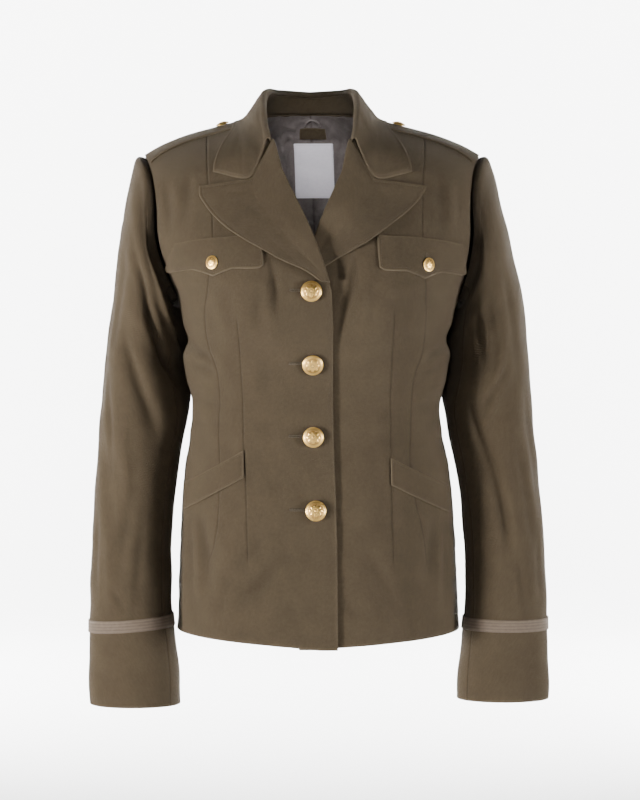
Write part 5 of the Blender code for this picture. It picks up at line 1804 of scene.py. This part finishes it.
# %% Make the shoulder straps
STRAP_IN = 0.0890
STRAP_OUT = 0.1850
STRAP_FRONT = 0.0340
STRAP_BACK = 0.0140
STRAP_TAPER = 0.0040
STRAP_POINT = 0.0050
STRAP_END_CURVE = 6.5
STRAP_CLOTH = 0.0018
STRAP_BUTTON_IN = 0.0080


def shoulder_point(side, out, deep, lift):
    """Returns points on the shoulder at a place seen from above, moved out."""
    def height_at(out, deep):
        facing_front = deep < 0
        ridge = smooth(RIDGE, "height", out)

        def too_high(drop):
            front = depth(side, out, ridge - drop, "front")
            back = depth(side, out, ridge - drop, "back")
            return np.where(facing_front, front, back) < np.abs(deep)

        top = np.zeros(np.broadcast(out, deep).shape)
        return ridge - halve(top, top + 0.15, 36, too_high)

    small = 0.0010
    height = height_at(out, deep)
    slope_out = (height_at(out + small, deep) - height_at(out - small, deep)) / (2 * small)
    slope_deep = (height_at(out, deep + small) - height_at(out, deep - small)) / (2 * small)
    long = np.sqrt(1 + slope_out**2 + slope_deep**2)
    lift = lift / long
    return placed(side, out - lift * slope_out, deep - lift * slope_deep, height + lift)


STRAP_HIDDEN = 0.0060


def strap_places(along, across):
    """Returns out and deep over a shoulder strap, pointed at the neck."""
    along = along[:, None]
    across = across[None, :]
    swing = 2 * across - 1
    narrow = STRAP_TAPER * (1 - along)
    deep = -STRAP_FRONT + narrow + (STRAP_FRONT + STRAP_BACK - 2 * narrow) * across
    start = STRAP_IN - STRAP_HIDDEN + STRAP_POINT * np.abs(swing) ** 1.5
    end = STRAP_OUT - STRAP_END_CURVE * deep**2
    return start + (end - start) * along, deep


for side, word in WORDS.items():
    out, deep = strap_places(crowded(54), crowded(36))
    low = shoulder_point(side, out, deep, REST)
    high = shoulder_point(side, out, deep, REST + STRAP_CLOTH)
    laid_piece("shoulder_strap", word, low, high, (True, False, True, True), STITCH_IN, 0.0008)
print("straps made")

# %% [markdown]
# ## Inside the neck
# Through the open neck one sees the lining of the back, a satin that has lain in folds. It
# follows the back's inner side and is crumpled inwards, except under the label that is sewn on
# it. The label is a bare woven ribbon with pinked edges, and a loop of cord hangs over it.

# %% Make the lining
LABEL_HALF = 0.0225
LABEL_TOP = -0.0260
LABEL_BOTTOM = -0.0880
LABEL_SHIFT = 0.0020
LABEL_CLOTH = 0.0008
PATCH_HALF = 0.0150
PATCH_TOP = -0.0090
PATCH_BOTTOM = -0.0205
PATCH_CLOTH = 0.0012
PLATE_REST = 0.0009
TOP_REST = 0.0010
TOP_REST_FROM = -0.0560
LOOP_HALF = 0.0090
LOOP_LOW = -0.0065
LOOP_TALL = 0.0065
LOOP_TUBE = 0.0013
LINING_FINER = 7
LINING_OVERLAP = 0.0004
LINING_CREASES = trough_rows(
    BODY_UNITS,
    (
        (410, -60, 290, -500, 30, 30), (340, -300, 280, -920, 26, 28), (400, -20, 40, -140, 30, 28),
        (300, -120, 140, -240, 24, 24), (220, -1000, 20, -1280, 30, 26),
        (340, -500, 750, -1000, 60, 34), (360, -780, 1000, -1500, 70, 36),
        (100, -1040, 600, -1300, 60, 30), (300, -300, 600, -620, 50, 24),
        (200, -1200, 500, -1700, 60, 30),
    ),
    (
        (300, -40, 180, -200, 26, 28), (420, -100, 300, -600, 30, 30),
        (340, -460, 280, -960, 26, 26), (180, -980, 40, -1400, 30, 26),
        (340, -460, 780, -940, 60, 34), (360, -740, 960, -1400, 70, 36),
        (120, -1020, 560, -1220, 60, 30), (320, -300, 580, -600, 50, 24),
        (160, -1180, 440, -1680, 60, 30),
    ),
)


def under_label(out, height):
    """Returns where the label and the patch lie on the lining."""
    label = ease((0.0285 - np.abs(out)) / 0.004) * ease((-0.021 - height) / 0.004)
    patch = ease((0.0210 - np.abs(out)) / 0.004) * ease((-0.004 - height) / 0.003)
    return np.maximum(label, patch) * ease((height + 0.0940) / 0.004)


def lining_piece(side, word):
    """Makes one half of the lining that shows inside the neck."""
    out, height = body_grid("back", LOW_ROWS, ARM_STEPS, BACK_COLUMNS)
    out, height = [finer(finer(part[1:, :-1], LINING_FINER, 0), LINING_FINER, 1) for part in (out, height)]
    sunk = np.minimum(panel_lift(side, out, height, "back")[0], 0.0)
    crumple = fold_depth(LINING_CREASES, side, out, height)
    crumple = 1.3 * crumple + np.abs(ripple(out * 1.8, height * 1.8, 200 + side, 0.0018))
    crumple = crumple * (1 - under_label(out, height))
    lift = -(CLOTH + REST) + sunk - crumple
    low = body_point(side, out, height, "back", lift)
    high = body_point(side, out, height, "back", lift - LINING)
    low = pull_in(low, (0.0, 0.0), (-LINING_OVERLAP, 0.0))
    high = pull_in(high, (0.0, 0.0), (-LINING_OVERLAP, 0.0))
    # The hollow mask darkens the lining where it lies back between its folds, as painted shade.
    hollow = np.clip(1 - crumple / 0.0030, 0.0, 1.0) * (1 - under_label(out, height))
    masks = {"seam": near(out, 0.0012), "hollow": hollow}
    rims = (0.0, 0.0, 0.0, 0.0)
    cloth("lining_cloth_" + word, "lining_back_" + word, high, low, rims, masks, slot="lining")


for side, word in WORDS.items():
    lining_piece(side, word)

# %% Make the label, the patch and the loop
PINK_WIDE = 0.0026
PINK_DEEP = 0.0008


def plate(name, node, half, ends, thick, slot, pinked, counts):
    """Makes a thin rectangle that lies on the lining, with zigzag edges if asked for."""
    across = np.linspace(-half, half, counts[1])[None, :]
    height = np.linspace(ends[0], ends[1], counts[0])[:, None]
    across, height = np.broadcast_arrays(across, height)
    tooth = np.abs(np.mod(height / PINK_WIDE, 1.0) - 0.5) * 2 * PINK_DEEP
    across = across * (1 - pinked * tooth / half * near((half - np.abs(across)) / half, 0.12))
    out = across + LABEL_SHIFT
    start = CLOTH + REST + LINING + PLATE_REST
    start = start + TOP_REST * ease((height - TOP_REST_FROM) / (-TOP_REST_FROM / 2))
    start = start + np.abs(ripple(out, height, 300 + len(name), 0.00018))
    low = body_point(LEFT, out, height, "back", -start)
    high = body_point(LEFT, out, height, "back", -(start + thick))
    away = edge_distance(high, ALL_FREE)
    # On the wool patch the edge mask lightens its rim, partly as wear and partly as a painted highlight.
    masks = {"edge": near(away, 0.0008), "seam": 0.5 * near(away - 0.0016, 0.0004)}
    cloth(name, node, high, low, (0.0003, 0.0003, 0.0003, 0.0003), masks, slot=slot)


ends = (LABEL_TOP, LABEL_BOTTOM)
plate("label_ribbon", "label", LABEL_HALF, ends, LABEL_CLOTH, "label", 1.0, (145, 40))
ends = (PATCH_TOP, PATCH_BOTTOM)
plate("neck_patch_cloth", "neck_patch", PATCH_HALF, ends, PATCH_CLOTH, "wool", 0.0, (24, 50))

CORD_PLIES = 3
CORD_SIDES = 18
CORD_STEPS = 90
CORD_TWIST = 7.0


def twisted_loop():
    """Makes the loop as a cord of three twisted plies."""
    turns = np.linspace(0.0, math.pi, CORD_STEPS)
    lift = CLOTH + REST + LINING + 2 * PLATE_REST + LOOP_TUBE
    out = -LOOP_HALF * np.cos(turns) + LABEL_SHIFT
    height = LOOP_LOW + LOOP_TALL * np.sin(turns) ** 0.8
    path = body_point(LEFT, out, height, "back", -lift)
    along = np.gradient(path, axis=0)
    along = unit(along)
    inward = np.cross(along, np.array((0.0, 1.0, 0.0)))
    inward = unit(inward)
    up = np.cross(inward, along)
    around = np.linspace(0.0, 2 * math.pi, CORD_SIDES + 1)[:-1]
    twist = CORD_TWIST * 2 * math.pi * np.linspace(0.0, 1.0, CORD_STEPS)[:, None]
    radius = LOOP_TUBE * (0.86 + 0.14 * np.abs(np.cos(CORD_PLIES / 2 * (around[None, :] + twist))))
    ring = inward[:, None] * np.cos(around)[None, :, None]
    ring = ring + up[:, None] * np.sin(around)[None, :, None]
    points = path[:, None] + ring * radius[..., None]
    inner = path[:, None] + ring * radius[..., None] * 0.3
    cloth("hanger_cord", LOOP_NODE, points, inner, (0.0002, 0.0002), wrap=True, slot="lining")


twisted_loop()

# %% [markdown]
# ## Buttons
# The buttons are stamped: a flat rim, a ring of small beads and a raised ornament on a shallow
# dome. A stamped relief is a height that changes over a disc, so each button is made of rings of
# points whose height is the dome plus the relief. The ornament is a plain rosette of petals.

# %% Make the buttons
BUTTON_REST = 0.0009
FRONT_BUTTON = 0.0225
SMALL_BUTTON = 0.0150
BUTTON_IN = 0.0215
FIRST_BUTTON_LIFT = -0.0004
BUTTON_HEIGHTS = (-0.1960, -0.2745, -0.3530, -0.4320)
BUTTON_SIDES = 96
BUTTON_RINGS = 34
# The shank and the rolled edge below the face: radius and rise, in half widths.
BUTTON_SIDE = ((0.26, 0.14), (0.94, 0.18), (0.985, 0.205), (1.0, 0.245), (0.998, 0.275))
BEADS = 32
PETALS = 8
DOME = 0.28


def seat_at(point_at, lift):
    """Returns a place at a lift over the cloth, and the way out of the cloth there."""
    seat = point_at(lift)
    way = point_at(lift + 0.01) - seat
    return seat, way / np.linalg.norm(way)


def button_relief(share, turn):
    """Returns the height of the stamped relief, as a share of the button's half width."""
    rim = 0.036 * ease((share - 0.90) / 0.03) * ease((1.0 - share) / 0.03)
    beads = 0.030 * near(share - 0.84, 0.030) * (0.5 + 0.5 * np.cos(BEADS * turn)) ** 0.7
    line = 0.018 * near(share - 0.755, 0.014)
    petal = np.abs(np.cos(PETALS / 2 * turn))
    reach = 0.42 + 0.22 * petal
    body = ease((reach - share) / 0.05) * ease((share - 0.17) / 0.05)
    vein = 0.4 * near(np.mod(PETALS * turn / (2 * math.pi) + 0.5, 1.0) - 0.5, 0.05)
    petals = 0.045 * body * (0.45 + 0.55 * petal**0.6) * (1 - vein)
    boss = 0.050 * ease((0.135 - share) / 0.04)
    return 0.7 * (rim + beads + line + petals + boss)


def stamped_button(name, node, place, wide):
    """Makes a stamped button on its shank."""
    half = wide / 2
    seat, normal = place
    turn = np.linspace(0.0, 2 * math.pi, BUTTON_SIDES + 1)[:-1][None, :]
    shares = np.linspace(0.990, 0.012, BUTTON_RINGS)[:, None]
    relief = button_relief(shares, turn)
    face = 0.575 - DOME * shares**2 + relief * 0.9 - 0.02
    under = np.array(((0.26, BUTTON_REST / half),) + BUTTON_SIDE)
    below = np.repeat(under[:, None], BUTTON_SIDES, axis=1)
    radii = np.concatenate((below[..., 0], np.broadcast_to(shares, relief.shape)))
    rises = np.concatenate((below[..., 1], face))
    points = np.stack((radii * np.cos(turn), radii * np.sin(turn), rises), axis=-1).reshape(-1, 3) * half
    rings = len(radii)
    index = np.arange(rings * BUTTON_SIDES).reshape(rings, BUTTON_SIDES)
    after = np.roll(index, -1, axis=1)
    quads = np.stack((index[:-1], after[:-1], after[1:], index[1:]), axis=-1).reshape(-1, 4)
    faces = quads.tolist() + [index[0, ::-1].tolist(), index[-1].tolist()]
    lean = Vector((0, 0, 1)).rotation_difference(Vector(normal))
    moved = [tuple(lean @ Vector(point) + Vector(seat)) for point in points]
    mesh = bpy.data.meshes.new(name)
    mesh.from_pydata(moved, [], faces)
    face_outward(mesh)
    mesh.shade_smooth()
    deep = np.clip(1 - relief / 0.016, 0.0, 1.0)
    hollow = np.concatenate((np.full((len(under), BUTTON_SIDES), 0.2), deep))
    inner_part = np.concatenate((np.zeros((len(under), 1)), ease((0.80 - shares) / 0.02) * 0.55 + 0.3))
    mask = mesh.attributes.new("hollow", "FLOAT", "POINT")
    mask.data.foreach_set("value", (hollow * inner_part).astype(np.float32).reshape(-1))
    finished(name, mesh, "brass", node)


for number, height in enumerate(BUTTON_HEIGHTS, 1):
    out = BUTTON_IN - float(smooth(FRONT_EDGE, "past", height))
    lift = FIRST_BUTTON_LIFT if number == 1 else 0.0
    place = seat_at(lambda lift: body_point(RIGHT, out, height, "front", lift), lift)
    stamped_button("front_brass_" + str(number), "front_button_" + str(number), place, FRONT_BUTTON)
for side, word in WORDS.items():
    flap = row_of(FLAPS, side)
    spot = (flap["button_out"], flap["button_height"], "front")
    place = seat_at(lambda lift: body_point(side, *spot, lift), REST + FLAP_CLOTH)
    stamped_button("flap_brass_" + word, "flap_button_" + word, place, SMALL_BUTTON)
    spot = (STRAP_IN + STRAP_BUTTON_IN, (STRAP_BACK - STRAP_FRONT) / 2)
    place = seat_at(lambda lift: shoulder_point(side, *spot, lift), REST + STRAP_CLOTH)
    stamped_button("strap_brass_" + word, "strap_button_" + word, place, SMALL_BUTTON)
print("buttons made:", len(BUTTON_HEIGHTS) + 4)

# %% [markdown]
# ## Stitches
# A row of stitches is one small thread repeated along a line, which is what Geometry Nodes does
# well: it walks along the line in even steps and puts a thread at each one, turned along the
# line and lying on the cloth. The same tree makes the buttonholes, with its threads turned
# across the line and packed close.

# %% The tree of stitches
SEWING_INPUTS = (
    ("Line", "Geometry"),
    ("Step", "Float"),
    ("Length", "Float"),
    ("Radius", "Float"),
    ("Turn", "Float"),
    ("Material", "Material"),
)


def stitch_tree():
    """Builds the Geometry Nodes tree that sews along a line."""
    tree = bpy.data.node_groups.new("sew_along_a_line", "GeometryNodeTree")
    for word, kind in SEWING_INPUTS:
        tree.interface.new_socket(word, in_out="INPUT", socket_type="NodeSocket" + kind)
    tree.interface.new_socket("Threads", in_out="OUTPUT", socket_type="NodeSocketGeometry")
    given = tree.nodes.new("NodeGroupInput").outputs
    line = add(tree, "GeometryNodeMeshToCurve", {"Mesh": given["Line"]})
    even = tree.nodes.new("GeometryNodeResampleCurve")
    even.mode = "LENGTH"
    feed(tree, even, {"Curve": line.outputs["Curve"], "Length": given["Step"]})
    bead = add(tree, "GeometryNodeMeshUVSphere", {"Segments": 6, "Rings": 4, "Radius": 1.0}).outputs
    named = tree.nodes.new("GeometryNodeStoreNamedAttribute")
    named.data_type = "FLOAT2"
    named.domain = "CORNER"
    feed(tree, named, {"Name": "cloth", "Geometry": bead["Mesh"], "Value": bead["UV Map"]})
    half = maths(tree, "MULTIPLY", given["Length"], 0.5)
    size = add(tree, "ShaderNodeCombineXYZ", {"X": half, "Y": given["Radius"], "Z": given["Radius"]})
    shaped = {"Geometry": named.outputs["Geometry"], "Scale": size.outputs["Vector"]}
    thread = add(tree, "GeometryNodeTransform", shaped)
    way = tree.nodes.new("GeometryNodeInputNamedAttribute")
    way.data_type = "FLOAT_VECTOR"
    way.inputs["Name"].default_value = "way"
    upright = tree.nodes.new("FunctionNodeAlignRotationToVector")
    upright.axis = "Z"
    feed(tree, upright, {"Vector": way.outputs["Attribute"]})
    tangent = tree.nodes.new("GeometryNodeInputTangent").outputs["Tangent"]
    along = tree.nodes.new("FunctionNodeAlignRotationToVector")
    along.axis = "X"
    along.pivot_axis = "Z"
    feed(tree, along, {"Rotation": upright.outputs["Rotation"], "Vector": tangent})
    around = {"Axis": (0.0, 0.0, 1.0), "Angle": given["Turn"]}
    angle = add(tree, "FunctionNodeAxisAngleToRotation", around)
    turned = tree.nodes.new("FunctionNodeRotateRotation")
    turned.rotation_space = "LOCAL"
    feed(tree, turned, {"Rotation": along.outputs["Rotation"], "Rotate By": angle.outputs["Rotation"]})
    put = add(tree, "GeometryNodeInstanceOnPoints", {
        "Points": even.outputs["Curve"],
        "Instance": thread.outputs["Geometry"],
        "Rotation": turned.outputs["Rotation"],
    })
    real = add(tree, "GeometryNodeRealizeInstances", {"Geometry": put.outputs["Instances"]})
    soft = add(tree, "GeometryNodeSetShadeSmooth", {"Geometry": real.outputs["Geometry"]})
    coloured = {"Geometry": soft.outputs["Geometry"], "Material": given["Material"]}
    finish = add(tree, "GeometryNodeSetMaterial", coloured)
    add(tree, "NodeGroupOutput", {"Threads": finish.outputs["Geometry"]})
    return tree


SEW = stitch_tree()


def sew(name, lines, sizes, turn, look):
    """Runs the tree along lines of points and keeps the threads as a plain mesh."""
    corners = np.concatenate([points for points, _ in lines])
    ways = np.concatenate([way for _, way in lines])
    edges = []
    base = 0
    for points, _ in lines:
        edges += [(base + spot, base + spot + 1) for spot in range(len(points) - 1)]
        base += len(points)
    mesh = bpy.data.meshes.new(name)
    mesh.from_pydata(corners.tolist(), edges, [])
    layer = mesh.attributes.new("way", "FLOAT_VECTOR", "POINT")
    layer.data.foreach_set("vector", ways.astype(np.float32).reshape(-1))
    piece = show(bpy.data.objects.new(name, mesh))
    sewing = piece.modifiers.new("sewing", "NODES")
    sewing.node_group = SEW
    values = dict(zip(("Step", "Length", "Radius"), sizes))
    values.update({"Turn": turn, "Material": LOOKS[look]})
    for socket in SEW.interface.items_tree:
        if socket.in_out == "INPUT" and socket.name in values:
            sewing[socket.identifier] = values[socket.name]
    bpy.context.view_layer.update()
    evaluated = piece.evaluated_get(bpy.context.evaluated_depsgraph_get())
    plain = bpy.data.meshes.new_from_object(evaluated)
    piece.modifiers.remove(sewing)
    piece.data = plain
    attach(piece, "root")
    print(name, "faces:", len(plain.polygons))

# %% Rows of stitches inside the edges
STITCH_STEP = 0.0030
STITCH_LONG = 0.0024
STITCH_RADIUS = 0.00017


def inset_line(grid, edge, inset, ends, over=0.00004):
    """Returns a line at a distance inside one edge of a grid, with the way out of the cloth."""
    normals = grid_normals(grid)
    if edge in ("last row", "last column"):
        grid = grid[::-1, ::-1]
        normals = normals[::-1, ::-1]
        ends = ends[::-1]
    if edge in ("first column", "last column"):
        grid = grid.transpose(1, 0, 2)
        normals = normals.transpose(1, 0, 2)
    down = lengths(grid, 0)
    points = []
    ways = []
    for col in range(grid.shape[1]):
        row = int(np.clip(np.searchsorted(down[:, col], inset) - 1, 0, len(down) - 2))
        share = (inset - down[row, col]) / max(down[row + 1, col] - down[row, col], 1e-9)
        points.append(grid[row, col] * (1 - share) + grid[row + 1, col] * share)
        ways.append(normals[row, col])
    points = np.array(points)
    ways = np.array(ways)
    run = np.concatenate(([0.0], np.cumsum(np.linalg.norm(np.diff(points, axis=0), axis=1))))
    kept = (run >= inset * ends[0]) & (run[-1] - run >= inset * ends[1])
    return points[kept] + ways[kept] * over, ways[kept]


def outward(lines, middle):
    """Turns the ways of lines so that they point away from a middle."""
    turned = []
    for points, ways in lines:
        if np.sum(ways * (points - np.array(middle))) < 0:
            points = points - 2 * ways * 0.00004
            ways = -ways
        turned.append((points, ways))
    return turned


CHEST_MIDDLE = (0.0, 0.05, -0.12)

ALL_EDGES = ("first row", "last row", "first column", "last column")
LOWER_ENDS = (("first column", (0, 1)), ("last column", (0, 1)))
UPPER_ENDS = (("first column", (1, 0)), ("last column", (1, 0)))

# Which edges of which piece are stitched, how far in, and where the line stays off the corners.
STITCHED = (
    ("lapel_", STITCH_IN, (("last column", (1, 0)), ("first row", (0, 1)))),
    ("chest_flap_", STITCH_IN, (("last row", (1, 1)), *LOWER_ENDS)),
    ("pocket_welt_", WELT_STITCH_IN, tuple((edge, (1, 1)) for edge in ALL_EDGES)),
    ("shoulder_strap_", STITCH_IN, (("first row", (1, 1)), *UPPER_ENDS)),
)
rows_of_stitches = []
for word in WORDS.values():
    for base, inset, edges in STITCHED:
        grid = GRIDS[base + word]
        if base == "lapel_":
            grid = grid[:, ROLL_STEPS:]
        rows_of_stitches += [inset_line(grid, edge, inset, ends) for edge, ends in edges]
for edge, ends in (("last row", (1, 1)), *LOWER_ENDS):
    rows_of_stitches.append(inset_line(GRIDS["collar_leaf"], edge, STITCH_IN, ends))
rows_of_stitches = outward(rows_of_stitches, CHEST_MIDDLE)
sew("edge_stitches", rows_of_stitches, (STITCH_STEP, STITCH_LONG, STITCH_RADIUS), 0.0, "thread")

# %% [markdown]
# ## Buttonholes
# A worked buttonhole is a slit with silk wound closely round both lips. The line goes round the
# slit, and the threads lie across it.

# %% Make the buttonholes
HOLE_ENDS = (0.0130, 0.0295)
HOLE_OVER_BUTTON = 0.0010
FLAP_HOLE = (0.0030, 0.0125)
HOLE_HALF = 0.0008
PURL_STEP = 0.00042
PURL_LONG = 0.0016
PURL_RADIUS = 0.00024


def slit_line(side, ends, level, upright, lift):
    """Returns the closed line round a slit on a front, and the way out of the cloth."""
    turns = np.linspace(0.0, 2 * math.pi, 121)
    middle = (ends[0] + ends[1]) / 2
    reach = (ends[1] - ends[0]) / 2
    along = middle + reach * np.clip(1.06 * np.cos(turns), -1.0, 1.0)
    beside = level + HOLE_HALF * np.clip(4.0 * np.sin(turns), -1.0, 1.0)
    out, height = (beside, along) if upright else (along, beside)
    lift = lift(out, height) if callable(lift) else lift
    points = body_point(side, out, height, "front", lift)
    over = body_point(side, out, height, "front", lift + 0.01)
    ways = over - points
    return points, unit(ways)


def on_front(out, height):
    """Returns the lift of silk on the right front's cloth."""
    return panel_lift(RIGHT, out, height, "front")[0] + 0.0001


holes = []
for height in BUTTON_HEIGHTS:
    holes.append(slit_line(RIGHT, HOLE_ENDS, height + HOLE_OVER_BUTTON, False, on_front))
purl = (PURL_STEP, PURL_LONG, PURL_RADIUS)
sew("front_buttonholes", holes, purl, math.pi / 2, "buttonhole_silk")
holes = []
for side in WORDS:
    lift = REST + FLAP_CLOTH + FLAP_LIFT * 0.27 + 0.0002
    flap = row_of(FLAPS, side)
    ends = [flap["button_height"] + over for over in FLAP_HOLE]
    holes.append(slit_line(side, ends, flap["button_out"], True, lift))
purl = (PURL_STEP, PURL_LONG * 0.8, PURL_RADIUS * 0.9)
sew("flap_buttonholes", holes, purl, math.pi / 2, "buttonhole_silk")

# %% [markdown]
# ## The cuts
# Cloth can't stretch into any shape, so each piece states the flat size that it was cut to:
# across and along its grain, and the area of its outline. The darts and the turned edges make
# the difference between the rectangle and the area.

# %% State the cuts
for node, grid in GRIDS.items():
    if node == LOOP_NODE:
        continue
    across = float(lengths(grid, 1)[:, -1].max())
    if node.startswith("cuff_braid"):
        across += float(np.linalg.norm(grid[0, -1] - grid[0, 0]))
